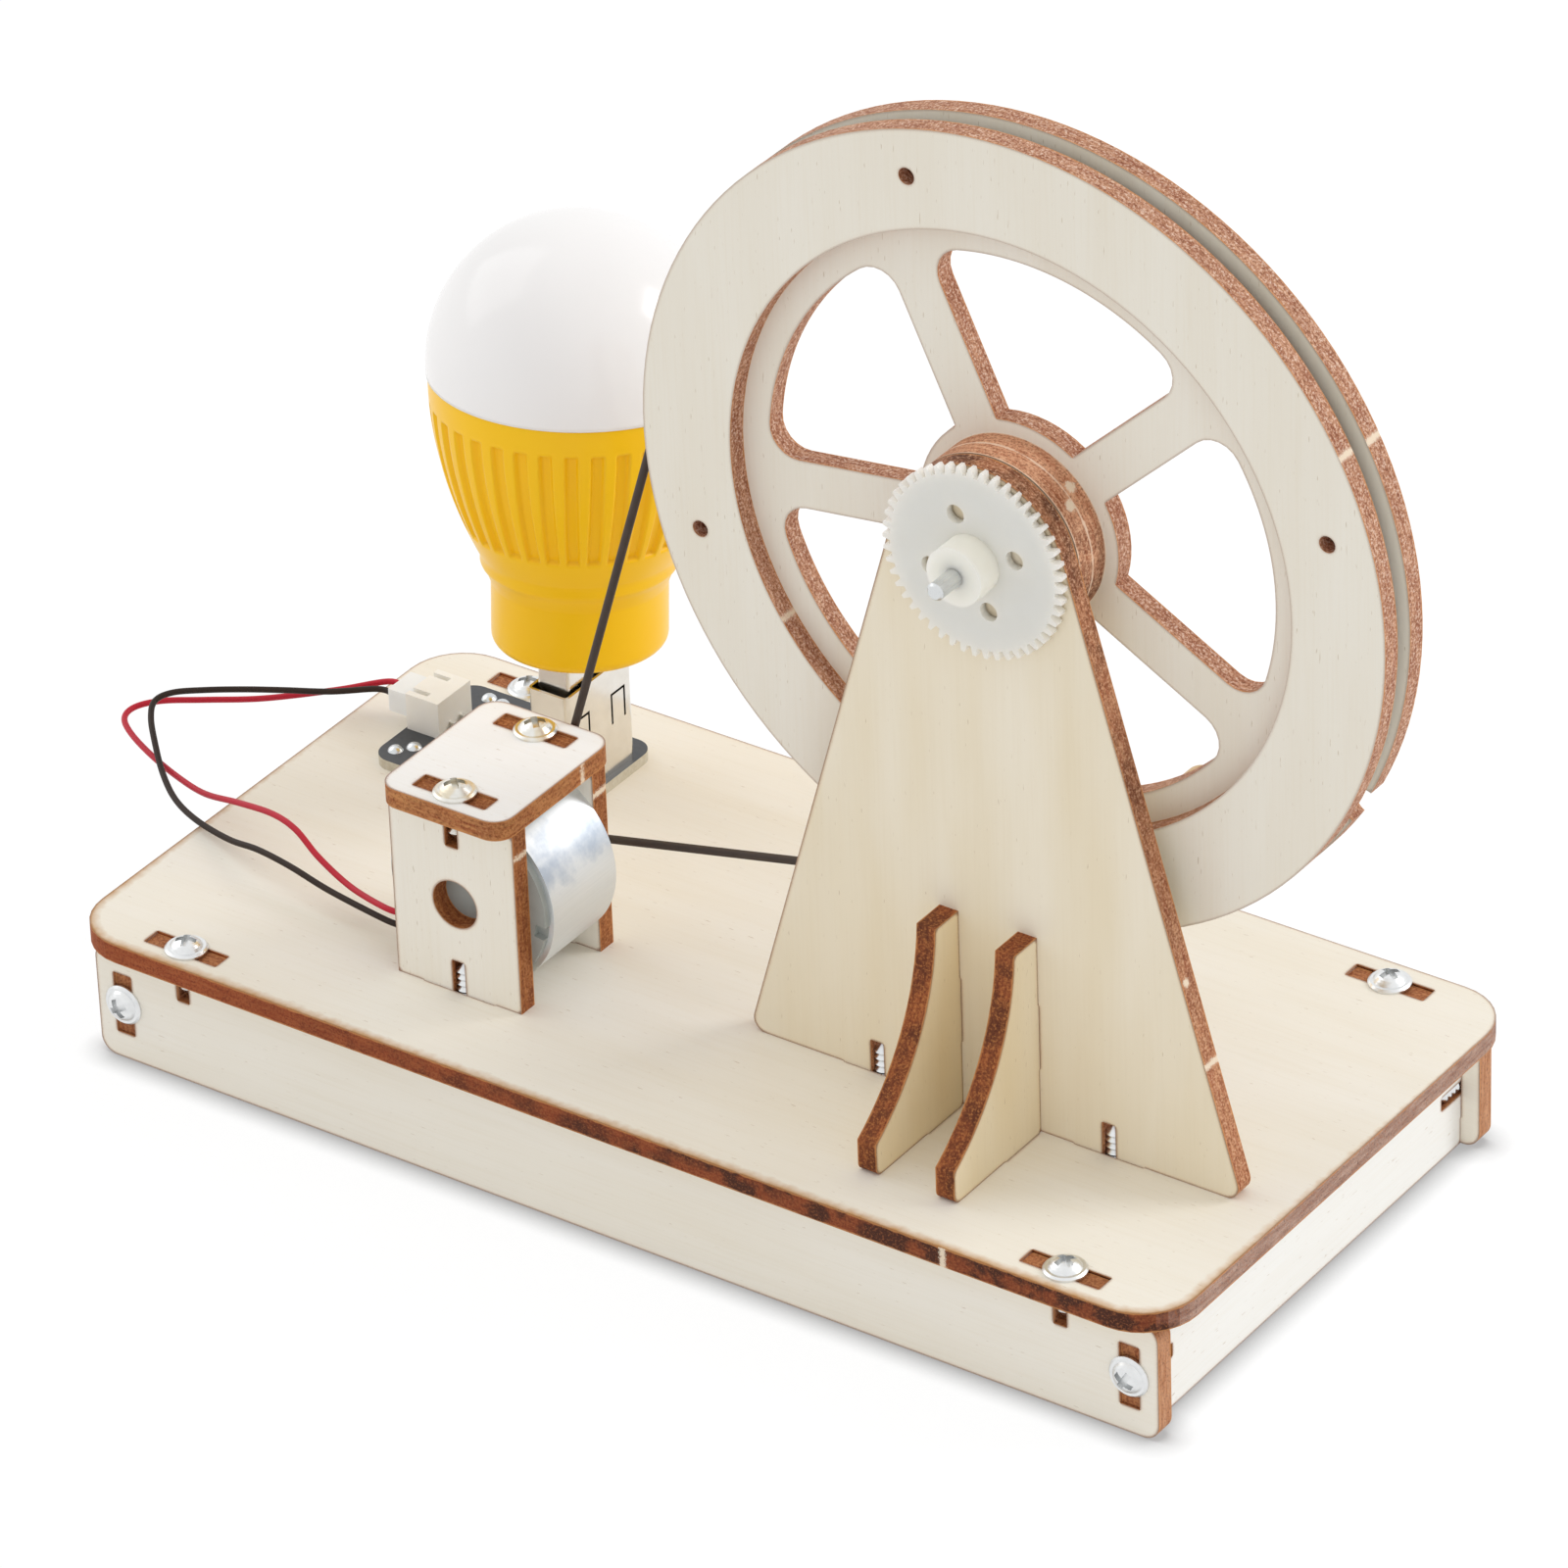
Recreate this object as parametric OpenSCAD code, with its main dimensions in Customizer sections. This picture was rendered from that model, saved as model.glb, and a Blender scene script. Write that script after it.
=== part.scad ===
// Hand crank generator model: a plywood base carries a spoked flywheel on an upright support.
// A round belt runs from the flywheel's groove to a small motor in a plywood box.
// Two wires lead from the motor to a converter board with an upright socket and a plug-in lamp.
// Millimetres, +Z up, +X to the right along the long front, +Y to the rear, origin under the base.

/* [Sheet] */
// Thickness of the plywood that every wooden piece is cut from
ply = 3; // [2.6:0.1:3.2]
// Gap on each side of a tab in its mortise
tab_play = 0.05; // [0.03:0.01:0.1]
// Depth of a tab's end below the face that it comes through
tab_sink = 0.4; // [0.1:0.05:0.6]
// Depth of the screw slots past a mortised sheet
slot_depth = 5; // [4.9:0.1:5.4]
// Width of the screw slots
slot_w = 2.1; // [2.1:0.05:2.4]

/* [Base] */
// Length of the top board
board_len = 180; // [174:1:200]
// Width of the top board
board_wid = 89; // [86:1:100]
// Corner radius of the top board
board_corner = 8.5; // [5:0.5:10]
// Height of the four panels under the board
panel_h = 18; // [16:0.5:24]
// Distance that the board reaches past the faces of the long panels
side_overhang = 3; // [1.5:0.25:4]
// Distance that the board reaches past the ends of the long panels
end_overhang = 2.6; // [2:0.2:4]
// Distance that the long panels run past the end panels
panel_lap = 3; // [2.5:0.25:4]
// Corner radius of the long panels
panel_corner = 2.5; // [1:0.25:3]
// Distance of the board screws from the middle of the length
board_screw_x = 72.2; // [66:0.2:73]
// Length of the board's mortises over the long panels
board_mortise = 12.4; // [10:0.2:13]
// Height of the long panels' mortises for the end panels
corner_mortise = 9.8; // [8:0.2:11]

/* [Support] */
// Front face of the support, measured from the middle of the board
support_y = -15; // [-16:0.25:-13]
// Position of the support and of the flywheel's axis along the board
axis_x = 44.2; // [42:0.2:46]
// Height of the flywheel's axis above the board
axis_h = 86.2; // [82:0.2:94]
// Half width of the support at its foot
foot_half = 39.4; // [34:0.2:42]
// Radius of the support's round head
head_r = 13.4; // [11:0.2:15]
// Radius of the support's two lower corners
foot_corner = 2; // [1:0.25:3]
// Distance of the support's screws from its middle
support_screw_x = 18.5; // [17:0.25:22]
// Length of the support's tabs
support_tab = 11; // [8:0.5:13]
// Distance of each gusset from the support's middle
gusset_x = 6.2; // [5:0.2:8]
// Length of a gusset's foot
gusset_foot = 20.5; // [17:0.25:22]
// Height of a gusset
gusset_h = 30.6; // [26:0.4:34]
// Depth of a gusset at its top
gusset_top = 5.4; // [4:0.2:7]
// Height of a gusset's front edge
gusset_toe = 5; // [3.5:0.25:6.5]
// Radius of a gusset's hollow edge
gusset_arc = 32; // [26:1:40]

/* [Flywheel] */
// Outer radius of the two rings
ring_r = 57.4; // [50:0.2:62]
// Width of the two rings
ring_w = 14; // [12:0.2:16]
// Depth of the belt groove between the two rings
groove_depth = 3.3; // [2.6:0.1:3.6]
// Width of the spoked disc's rim that shows inside the rings
rim_lip = 4.2; // [3:0.2:6]
// Radius of the spoked disc's hub
hub_r = 15.4; // [14.4:0.2:18]
// Width of a spoke
spoke_w = 7.1; // [5:0.1:9]
// Corner radius at the outer ends of the openings
opening_corner = 4; // [2.5:0.25:5]
// Direction of the first spoke
spoke_turn = 43; // [38:1:48]
// Direction of the first ring screw
ring_turn = 16; // [12:1:20]
// Distance of the ring screws from the rings' outer edge
ring_screw_in = 6.6; // [5.4:0.2:9]
// Radius of the holes for the ring screws
ring_hole_r = 1.2; // [1.1:0.05:1.5]
// Radius of the round notch in the rear ring
notch_r = 2.9; // [2:0.1:3.2]
// Direction of the notch in the rear ring
notch_turn = -29; // [-34:1:-24]
// Side play of the flywheel on each side of the support
side_play = 0.3; // [0.3:0.05:0.6]
// Radius of the axle
axle_r = 1.25; // [1.1:0.05:1.6]
// Clearance of a turning shaft in its bore
run_play = 0.05; // [0.02:0.01:0.08]
// Length of the axle in front of the gear
axle_front = 4.5; // [4:0.1:8]

/* [Gear] */
// Number of teeth
gear_teeth = 48; // [36:1:60]
// Outer radius of the gear
gear_r = 13.9; // [12.5:0.1:15]
// Depth of the teeth
tooth_h = 1.2; // [0.9:0.05:1.4]
// Thickness of the gear
gear_t = 1.3; // [1:0.1:3]
// Radius of the gear's boss
boss_r = 4.2; // [3.5:0.1:5.2]
// Length of the gear's boss
boss_len = 4.2; // [3:0.1:6]
// Radius of the gear's four holes
gear_hole_r = 1.35; // [0.8:0.05:1.6]
// Radius of the circle of the gear's holes
gear_hole_at = 7; // [6.8:0.1:8.5]

/* [Crank] */
// Radius of the crank knob
knob_r = 4.5; // [3.6:0.1:5]
// Length of the crank knob
knob_len = 18; // [14:0.5:22]
// Radius of the crank screw's shoulder
crank_r = 1.6; // [1.4:0.05:2]
// End play of the knob
knob_play = 0.3; // [0.3:0.05:0.6]

/* [Screws] */
// Length of a screw under its head
screw_len = 7.6; // [7:0.1:7.8]
// Radius of the thread's crest, which cuts into the sides of the slots
thread_r = 1.3; // [1.15:0.05:1.35]
// Depth of the thread
thread_h = 0.4; // [0.25:0.01:0.45]
// Distance from one thread to the next
thread_pitch = 1; // [0.8:0.05:1.2]
// Clearance of a thread in the bore that it cuts
tap_air = 0.05; // [0.02:0.01:0.1]
// Radius of the thread's crest on the flywheel's screws
ring_thread_r = 1; // [0.85:0.05:1]
// Radius of a screw's flanged head
flange_r = 3.05; // [2.6:0.05:3.2]
// Thickness of the flange
flange_t = 0.55; // [0.4:0.05:0.8]
// Radius of the head's dome
dome_r = 2.35; // [1.9:0.05:2.5]
// Height of the head's dome
dome_h = 1.25; // [1:0.05:1.5]

/* [Motor] */
// Position of the motor's axis along the board
motor_x = -33.7; // [-35:0.1:-32]
// Gap between the motor's can and the board
can_gap = 0.55; // [0.5:0.05:1]
// Gap between the motor's can and the box's top plate
lid_gap = 0.5; // [0.4:0.05:1]
// Width of the motor box
box_w = 20.8; // [19:0.2:24]
// Height of the motor box's plates
box_h = 28.45; // [27:0.05:32]
// Length of the tabs on the motor box's plates
box_tab = 12; // [9:0.5:14]
// Corner radius of the motor box's top plate
box_corner = 3; // [1.5:0.25:4]
// Distance from the belt's plane to the rear face of the motor box
belt_to_box = 3.3; // [3.2:0.1:4]
// Length of the motor between the two plates
motor_len = 15.4; // [14.6:0.2:18]
// Thickness of the can's wall
can_wall = 0.8; // [0.6:0.05:1]
// Distance from the front plate back to the can's rim
can_rim = 1; // [0.6:0.1:1.4]
// Thickness of the motor's end cap
cap_t = 2.9; // [2.6:0.1:3.2]
// Radius of the hole in the front plate
peep_r = 3.65; // [3:0.05:4.5]
// Radius of the boss at the rear of the can
can_boss = 3; // [2.6:0.1:3.4]
// Radius of the motor's shaft
motor_shaft_r = 0.75; // [0.7:0.05:0.8]

/* [Belt] */
// Radius of the round belt
belt_r = 0.6; // [0.5:0.05:0.85]
// Gap between the belt and the bottoms of its grooves
belt_air = 0.3; // [0.3:0.05:0.4]
// Radius of the pulley's groove
groove_r = 1; // [0.95:0.05:1.3]
// Radius of the pulley's flanges
pulley_r = 4; // [3.6:0.1:4.4]
// Length of the pulley
pulley_len = 3.6; // [3.4:0.1:4]

/* [Converter] */
// Length of the circuit board
pcb_len = 33; // [31:0.5:36]
// Width of the circuit board
pcb_wid = 23.4; // [22:0.2:26]
// Thickness of the circuit board
pcb_t = 1.6; // [1.2:0.1:2]
// Position of the circuit board's middle along the base
pcb_x = -62.8; // [-63.5:0.1:-62]
// Position of the circuit board's middle across the base
pcb_y = 23.4; // [23:0.1:24.5]
// Height of the upright socket
usb_h = 17.15; // [16.6:0.05:18]
// Outer size of the upright socket across its narrow side
usb_t = 6.8; // [6.6:0.1:7.4]
// Outer size of the upright socket across its wide side
usb_w = 15.4; // [15:0.1:16]
// Thickness of the socket's metal shell
usb_wall = 0.4; // [0.3:0.05:0.5]
// Play between the upright socket's insert and its metal shell
insert_air = 0.05; // [0.02:0.01:0.1]

/* [Lamp] */
// Angle that the lamp leans in its socket along the base, to the left where negative
lamp_lean_x = -1.5; // [-2:0.25:2]
// Angle that the lamp leans in its socket to the rear
lamp_lean_y = 6; // [0:0.25:6]
// Depth of the lamp's plug in the socket
plug_in = 9; // [8:0.1:9]
// Length of plug left between the socket and the lamp
plug_out = 4.4; // [4:0.1:8]
// Radius of the lamp's collar
collar_r = 12.4; // [10:0.1:13]
// Height of the lamp's collar
collar_h = 10.4; // [8:0.2:11]
// Radius of the round edge at the collar's foot
collar_round = 1.8; // [1:0.1:2.2]
// Radius of the lamp's body just above the collar
neck_r = 13.9; // [13.4:0.1:14.5]
// Radius of the lamp's body at the dome
rim_r = 20.9; // [20:0.1:22]
// Height of the lamp's body
body_h = 41.1; // [38:0.1:46]
// Number of slots round the lamp's body
slot_count = 36; // [24:1:40]
// Depth of the slots
lamp_slot_d = 0.8; // [0.5:0.05:1]
// Width of the slots
lamp_slot_w = 1.5; // [1:0.1:1.7]
// Radius of the lamp's dome
globe_r = 21.2; // [20.4:0.1:23]
// Height of the dome's centre above the lamp's body
globe_rise = 1.4; // [0.5:0.1:2]
// Thickness of the lamp's dome
globe_t = 1.2; // [0.8:0.1:1.5]

/* [Wires] */
// Radius of the two wires
wire_r = 0.45; // [0.4:0.05:0.65]

/* [Hidden] */
$fn = 64;

// Small overlap that keeps a cut clear of the face it opens
cut = 0.5;
// Straight steps in a rounded corner
corner_steps = 8;

// Heights of the board, the flywheel's axis and the motor's axis
board_z = panel_h;
top_z = panel_h + ply;
axis_z = top_z + axis_h;
can_r = (box_h - can_gap - lid_gap) / 2;
motor_z = top_z + can_gap + can_r;
box_top = top_z + box_h;

// Middle planes of the long panels and of the end panels
long_y = board_wid / 2 - side_overhang - ply / 2;
long_half = board_len / 2 - end_overhang;
end_x = long_half - panel_lap - ply / 2;
inner_y = long_y - ply / 2;

// A gusset's tab in the board and its hook in the support
gusset_tab = 8;
gusset_tab_at = 0.5;
hook_low = 10;
hook_high = 20;
gusset_round = 1.2;

// The crossed recess in a screw's head
recess_len = 2.9;
recess_w = 0.9;
recess_floor = 0.15;

// Planes of the support and the flywheel's layers, from front to rear
support_mid = support_y + ply / 2;
hub_y = support_y + ply + side_play;
ring_y = hub_y + ply;
disc_y = ring_y + ply;
rear_y = disc_y + ply;
wheel_back = rear_y + ply;
belt_y = disc_y + ply / 2;
gear_y = support_y - side_play - gear_t;
axle_back = rear_y + 1;
axle_len = axle_back - gear_y + boss_len + axle_front;
axle_edge = 0.3;

// Planes of the motor box, from rear to front
box_back = belt_y - belt_to_box;
rear_mid = box_back - ply / 2;
can_back = box_back - ply;
cap_front = can_back - motor_len;
front_mid = cap_front - ply / 2;
box_lip = belt_to_box - belt_r - belt_air;
can_inner = can_r - can_wall;
magnet_t = 2.6;
magnet_inner = can_inner - magnet_t;
magnet_more = 0.6;
rotor_air = 0.8;
rotor_r = magnet_inner - rotor_air;
rotor_ends = 7;
rotor_len = motor_len - rotor_ends;
rotor_back = 1.4;
rotor_mid = can_back - can_wall - rotor_back - rotor_len / 2;
rotor_hub = 2.6;
rotor_arm = 3;
rotor_shoe = 1.5;
coil_w = 6;
coil_end = 1;
coil_low = 3.8;
coil_high = rotor_r - rotor_shoe - 0.9;
boss_proud = 1.6;

// Radii of the flywheel, from the rings' outer edge inwards
disc_r = ring_r - groove_depth;
ring_screw_r = ring_r - ring_screw_in;
ring_inner = ring_r - ring_w;
opening_r = ring_inner - rim_lip;

// The belt's path: its radii on the two pulleys and the direction of the straight runs
belt_wheel = disc_r + belt_air + belt_r;
belt_motor = groove_r + belt_air + belt_r;
belt_span = norm([axis_x - motor_x, axis_z - motor_z]);
belt_dir = atan2(motor_z - axis_z, motor_x - axis_x);
belt_lap = acos((belt_wheel - belt_motor) / belt_span);

// The crank screw takes the last place on the circle of ring screws
crank_turn = ring_turn + 270;
crank_px = axis_x + ring_screw_r * cos(crank_turn);
crank_pz = axis_z + ring_screw_r * sin(crank_turn);
crank_len = knob_len + 2 * knob_play;

// The converter board, its upright socket and the lamp that leans in it
pcb_top = top_z + pcb_t;
usb_x = pcb_x + pcb_len / 2 - 0.9 - usb_t / 2;
usb_y = pcb_y + 0.3;
usb_top = pcb_top + usb_h;
plug_t = 5.3;
plug_w = 13.2;
plug_wall = 0.3;
plug_block = 1.4;
lean_z = usb_top - plug_in / 2;
tip_low = lean_z - plug_in / 2 * cos(lamp_lean_x) * cos(lamp_lean_y)
    - plug_t / 2 * sin(abs(lamp_lean_x)) - plug_w / 2 * sin(lamp_lean_y);
insert_top = tip_low - 0.02;
tongue_t = 1.3;
tongue_w = 9.4;
tongue_x = 0.7;
tongue_top = usb_h - 1.3;
collar_s = plug_in / 2 + plug_out;
step_s = collar_h + 2.2;
flare_s = collar_h + 3.6;
slot_low = flare_s + 0.18 * (body_h - flare_s);
slot_high = flare_s + 0.85 * (body_h - flare_s);
cup_wall = 1.6;
cup_r = rim_r - cup_wall;
ledge_depth = 9;
cup_depth = 4;
ledge_s = body_h - ledge_depth;
ledge_r = cup_r - cup_wall;
globe_s = body_h + globe_rise;
plate_t = 1.6;
chip_w = 2.8;

// Springs cut free in the socket's wide walls
spring_y = 4.2;
spring_w = 3.4;
spring_low = 7.8;
spring_high = 12.8;
spring_cut = 0.4;

// The wire socket on the converter board and the plug in it
sock_x0 = pcb_x - pcb_len / 2 + 0.3;
sock_x1 = sock_x0 + 5.7;
sock_y = pcb_y + 0.7;
sock_w = 7.8;
sock_h = 5.8;
plug_z = pcb_top + 1.1;
wplug_w = 5.4;
wplug_h = 3.6;
wplug_x0 = sock_x0 - 4;
wplug_x1 = sock_x1 - 1.7;
wire_z = plug_z + wplug_h / 2;
wire_gap = 2.4;

// The motor's two solder tabs, which stand in the end cap's rim
tab_rise = 2.05;
tab_gap = 2;
tab_out = 6.5;
tab_in = 0.1;
tab_w = 1.2;
tab_t = 1.4;
tab_room = 1.2;
tab_chord = sqrt(can_inner * can_inner - pow(can_inner - tab_rise, 2));
tab_end = motor_x - tab_chord - tab_out;
tab_y = cap_front + 2.2;
tab_black = motor_z - can_inner + tab_rise;
tab_red = tab_black + tab_gap;

// Route of the red wire from its plug to the upper solder tab
red_route = [
    [wplug_x0, sock_y + wire_gap / 2, wire_z],
    [wplug_x0 - 3, sock_y + wire_gap / 2, wire_z],
    [-92, 21, 24.4],
    [-101, 15.6, 22.9],
    [-108, 11, 22.8],
    [-113, 7.4, 22.9],
    [-115.4, 4.2, 22.8],
    [-115.2, 1.4, 22.5],
    [-112, -1.2, 22.3],
    [-106, -4.2, 22.2],
    [-99, -7, 22.3],
    [-92, -9.8, 23.4],
    [-84, -12.4, 26],
    [-76, -14.9, 28.2],
    [-70.5, -16.7, 28.4],
    [-65, -18.8, 26.8],
    [-58, -21, 25.6],
    [tab_end - 3, tab_y, tab_red],
    [tab_end, tab_y, tab_red]];

// Route of the black wire from its plug to the lower solder tab
black_route = [
    [wplug_x0, sock_y - wire_gap / 2, wire_z],
    [wplug_x0 - 3, sock_y - wire_gap / 2, wire_z],
    [-91, 18.4, 25.8],
    [-96.5, 14.7, 26.2],
    [-101, 11.4, 26.6],
    [-105.4, 7.9, 26.9],
    [-108.8, 4.8, 27],
    [-110, 2.2, 26.6],
    [-108.6, -0.6, 25.8],
    [-105.4, -4, 24.6],
    [-101, -8, 22.9],
    [-96, -11.6, 22.1],
    [-90, -14.4, 22.1],
    [-82.5, -16.8, 22.8],
    [-76, -18.5, 24.2],
    [-69, -20.2, 24.7],
    [-61, -21.8, 24.3],
    [tab_end - 3, tab_y, tab_black],
    [tab_end, tab_y, tab_black]];

// Points of a circular arc
function arc(cx, cy, r, a0, a1, n) =
    [for (i = [0:n]) let (a = a0 + (a1 - a0) * i / n) [cx + r * cos(a), cy + r * sin(a)]];

// Outline of a rectangle with round corners, centred on the origin
function round_rect(w, h, r) = concat(
    arc(w / 2 - r, h / 2 - r, r, 0, 90, corner_steps),
    arc(r - w / 2, h / 2 - r, r, 90, 180, corner_steps),
    arc(r - w / 2, r - h / 2, r, 180, 270, corner_steps),
    arc(w / 2 - r, r - h / 2, r, 270, 360, corner_steps));

// A sheet standing along the base, from an outline in X and Z, around the plane y_mid
module upright(y_mid) {
    translate([0, y_mid + ply / 2, 0])
        rotate([90, 0, 0])
            linear_extrude(ply)
                children();
}

// A sheet standing across the base, from an outline in Y and Z, around the plane x_mid
module across(x_mid) {
    translate([x_mid - ply / 2, 0, 0])
        rotate([90, 0, 90])
            linear_extrude(ply)
                children();
}

// A flywheel layer from an outline around the axis, from the plane y0 to the rear
module layer(y0, t) {
    translate([axis_x, y0 + t, axis_z])
        rotate([90, 0, 0])
            linear_extrude(t)
                children();
}

// A round solid along Y from the plane y0 to the rear
module rod(px, y0, pz, r, len) {
    translate([px, y0, pz])
        rotate([-90, 0, 0])
            cylinder(r = r, h = len);
}

// A rectangle in a drawing plane, centred on the origin
module centred(w, h) {
    translate([-w / 2, -h / 2])
        square([w, h]);
}

// Half section of a screw: point, stacked threads, flange and dome
function screw_half(len, shank, crest) =
    let (core = crest - thread_h,
        n = floor(len / thread_pitch) - 1,
        ball = (dome_r * dome_r + dome_h * dome_h) / (2 * dome_h),
        open = asin(dome_r / ball))
    concat(
        [[0, -len - shank]],
        [for (i = [n:-1:1], k = [0:1])
            k == 0 ? [core, -shank - (i + 0.5) * thread_pitch] : [crest, -shank - i * thread_pitch]],
        [[core, -shank - 0.5 * thread_pitch]],
        shank > 0 ? [[core, -shank], [crank_r, -shank], [crank_r, 0]] : [[core, 0]],
        [[flange_r, 0], [flange_r, flange_t * 0.5], [flange_r - 0.3, flange_t]],
        [for (i = [0:5]) let (a = open * (1 - i / 6))
            [ball * sin(a), flange_t + dome_h - ball + ball * cos(a)]],
        [[0, flange_t + dome_h]]);

// A screw with a crossed recess, its head resting on the plane z = 0 and its point downwards
module screw(len = screw_len, shank = 0, crest = thread_r) {
    difference() {
        rotate_extrude()
            polygon(screw_half(len, shank, crest));
        for (a = [45, 135])
            rotate([0, 0, a])
                translate([-recess_len / 2, -recess_w / 2, flange_t + recess_floor])
                    cube([recess_len, recess_w, dome_h + cut]);
    }
}

// Bore that a screw's thread cuts, for a screw that stands in the same place
module tapped() {
    translate([0, 0, -screw_len - tap_air])
        cylinder(r = thread_r + tap_air, h = screw_len + 2 * tap_air);
}

// Cut for a screw's slot in a drawing plane, from the height y0 up to y1
module screw_slot(y0, y1) {
    translate([-slot_w / 2, y0])
        square([slot_w, y1 - y0]);
}

module top_board() {
    color("burlywood")
        translate([0, 0, board_z])
            linear_extrude(ply)
                difference() {
                    polygon(round_rect(board_len, board_wid, board_corner));
                    for (sx = [-1, 1], sy = [-1, 1])
                        translate([sx * board_screw_x, sy * long_y])
                            centred(board_mortise, ply + 2 * tab_play);
                    for (sx = [-1, 1])
                        translate([axis_x + sx * support_screw_x, support_mid])
                            centred(support_tab + 2 * tab_play, ply + 2 * tab_play);
                    for (sx = [-1, 1])
                        translate([axis_x + sx * gusset_x, support_y - gusset_tab_at - gusset_tab / 2])
                            centred(ply + 2 * tab_play, gusset_tab + 2 * tab_play);
                    for (py = [front_mid, rear_mid])
                        translate([motor_x, py])
                            centred(box_tab + 2 * tab_play, ply + 2 * tab_play);
                }
}

// Outline of a long panel with its tabs, slots and mortises
module long_outline() {
    difference() {
        union() {
            translate([0, panel_h / 2])
                polygon(round_rect(2 * long_half, panel_h, panel_corner));
            for (sx = [-1, 1])
                translate([sx * board_screw_x - board_mortise / 2 + tab_play, panel_h - 1])
                    square([board_mortise - 2 * tab_play, ply + 1 - tab_sink]);
        }
        for (sx = [-1, 1])
            translate([sx * board_screw_x, 0])
                screw_slot(panel_h - slot_depth, top_z + cut);
        for (sx = [-1, 1])
            translate([sx * end_x, panel_h / 2])
                centred(ply + 2 * tab_play, corner_mortise);
    }
}

// Puts its children at the four screws through the board, or at those on one side of it
module at_board_screws(sides = [-1, 1]) {
    for (sx = [-1, 1], sy = sides)
        translate([sx * board_screw_x, sy * long_y, top_z])
            rotate([0, 0, 20 * sx])
                children();
}

// A long panel on one side of the base
module long_panel(side) {
    difference() {
        upright(side * long_y)
            long_outline();
        at_board_screws([side])
            tapped();
    }
}

module front_panel() {
    color("wheat")
        long_panel(-1);
}

module rear_panel() {
    color("wheat")
        long_panel(1);
}

// Outline of an end panel with its tabs and slots
module end_outline() {
    difference() {
        union() {
            translate([-inner_y, 0])
                square([2 * inner_y, panel_h]);
            translate([0, panel_h / 2])
                centred(2 * (inner_y + ply - tab_sink), corner_mortise - 2 * tab_play);
        }
        for (sy = [-1, 1])
            translate([sy * (inner_y + (ply - slot_depth + cut) / 2), panel_h / 2])
                centred(slot_depth + ply + cut, slot_w);
    }
}

// Puts its children at the four screws through the long panels, or at those on one end of them
module at_corner_screws(ends = [-1, 1]) {
    for (sx = ends, sy = [-1, 1])
        translate([sx * end_x, sy * (inner_y + ply), panel_h / 2])
            rotate([-90 * sy, 0, 0])
                rotate([0, 0, 15 * sx])
                    children();
}

// An end panel on one end of the base
module end_panel(end) {
    difference() {
        across(end * end_x)
            end_outline();
        at_corner_screws([end])
            tapped();
    }
}

module left_end_panel() {
    color("wheat")
        end_panel(-1);
}

module right_end_panel() {
    color("wheat")
        end_panel(1);
}

module board_screws() {
    color("silver")
        at_board_screws()
            screw();
}

module corner_screws() {
    color("silver")
        at_corner_screws()
            screw();
}

// Outline of the support: two sides that meet a round head, round lower corners and two tabs
function support_sides() =
    let (far = norm([foot_half, axis_h]),
        lean = atan2(axis_h, foot_half),
        reach = asin(head_r / far),
        side = lean + reach,
        in = foot_corner / tan(side / 2))
    concat(
        arc(in - foot_half, foot_corner, foot_corner, 270, 90 + side, corner_steps),
        arc(0, axis_h, head_r, 90 + side, 90 - side, 40),
        arc(foot_half - in, foot_corner, foot_corner, 90 - side, -90, corner_steps),
        [for (sx = [1, -1], p = [[1, 0], [1, -1], [-1, -1], [-1, 0]])
            [sx * support_screw_x + p[0] * support_tab / 2, p[1] * ply]]);

// Puts its children at the two screws that hold the support from below
module at_support_screws() {
    for (sx = [-1, 1])
        translate([axis_x + sx * support_screw_x, support_mid, board_z])
            rotate([180, 0, 0])
                children();
}

module support_frame() {
    color("wheat")
        difference() {
            translate([axis_x, 0, top_z])
                upright(support_mid)
                    difference() {
                        polygon(support_sides());
                        for (sx = [-1, 1])
                            translate([sx * support_screw_x, 0])
                                screw_slot(-ply - cut, slot_depth);
                        for (sx = [-1, 1])
                            translate([sx * gusset_x, (hook_low + hook_high) / 2])
                                centred(ply + 2 * tab_play, hook_high - hook_low + 2 * tab_play);
                    }
            rod(axis_x, support_y - cut, axis_z, axle_r + run_play, ply + 2 * cut);
            at_support_screws()
                tapped();
        }
}

// Outline of a gusset in depth and height: a hollow front edge, a tab down and a tab to the rear
function gusset_outline() =
    let (a = [-gusset_top, gusset_h],
        b = [-gusset_foot, gusset_toe],
        mid = (a + b) / 2,
        half = norm(a - b) / 2,
        run = (b - a) / (2 * half),
        c = mid + sqrt(gusset_arc * gusset_arc - half * half) * [run[1], -run[0]],
        a0 = atan2(a[1] - c[1], a[0] - c[0]),
        a1 = atan2(b[1] - c[1], b[0] - c[0]))
    concat(
        [[0, 0], [0, hook_low], [ply, hook_low], [ply, hook_high], [0, hook_high], [0, gusset_h]],
        arc(c[0], c[1], gusset_arc, a0, a1, 16),
        arc(gusset_round - gusset_foot, gusset_round, gusset_round, 180, 270, 4),
        [[-gusset_tab_at - gusset_tab, 0], [-gusset_tab_at - gusset_tab, -ply],
            [-gusset_tab_at, -ply], [-gusset_tab_at, 0]]);

module left_gusset() {
    color("tan")
        translate([0, support_y, top_z])
            across(axis_x - gusset_x)
                polygon(gusset_outline());
}

module right_gusset() {
    color("tan")
        translate([0, support_y, top_z])
            across(axis_x + gusset_x)
                polygon(gusset_outline());
}

module support_screws() {
    color("silver")
        at_support_screws()
            screw();
}

// Holes for the ring screws around the axis
module ring_holes() {
    for (i = [0:3])
        rotate(ring_turn + 90 * i)
            translate([ring_screw_r, 0])
                circle(ring_hole_r);
}

module front_ring() {
    color("moccasin")
        layer(ring_y, ply)
            difference() {
                circle(ring_r, $fn = 160);
                circle(ring_inner, $fn = 160);
                ring_holes();
            }
}

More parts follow.
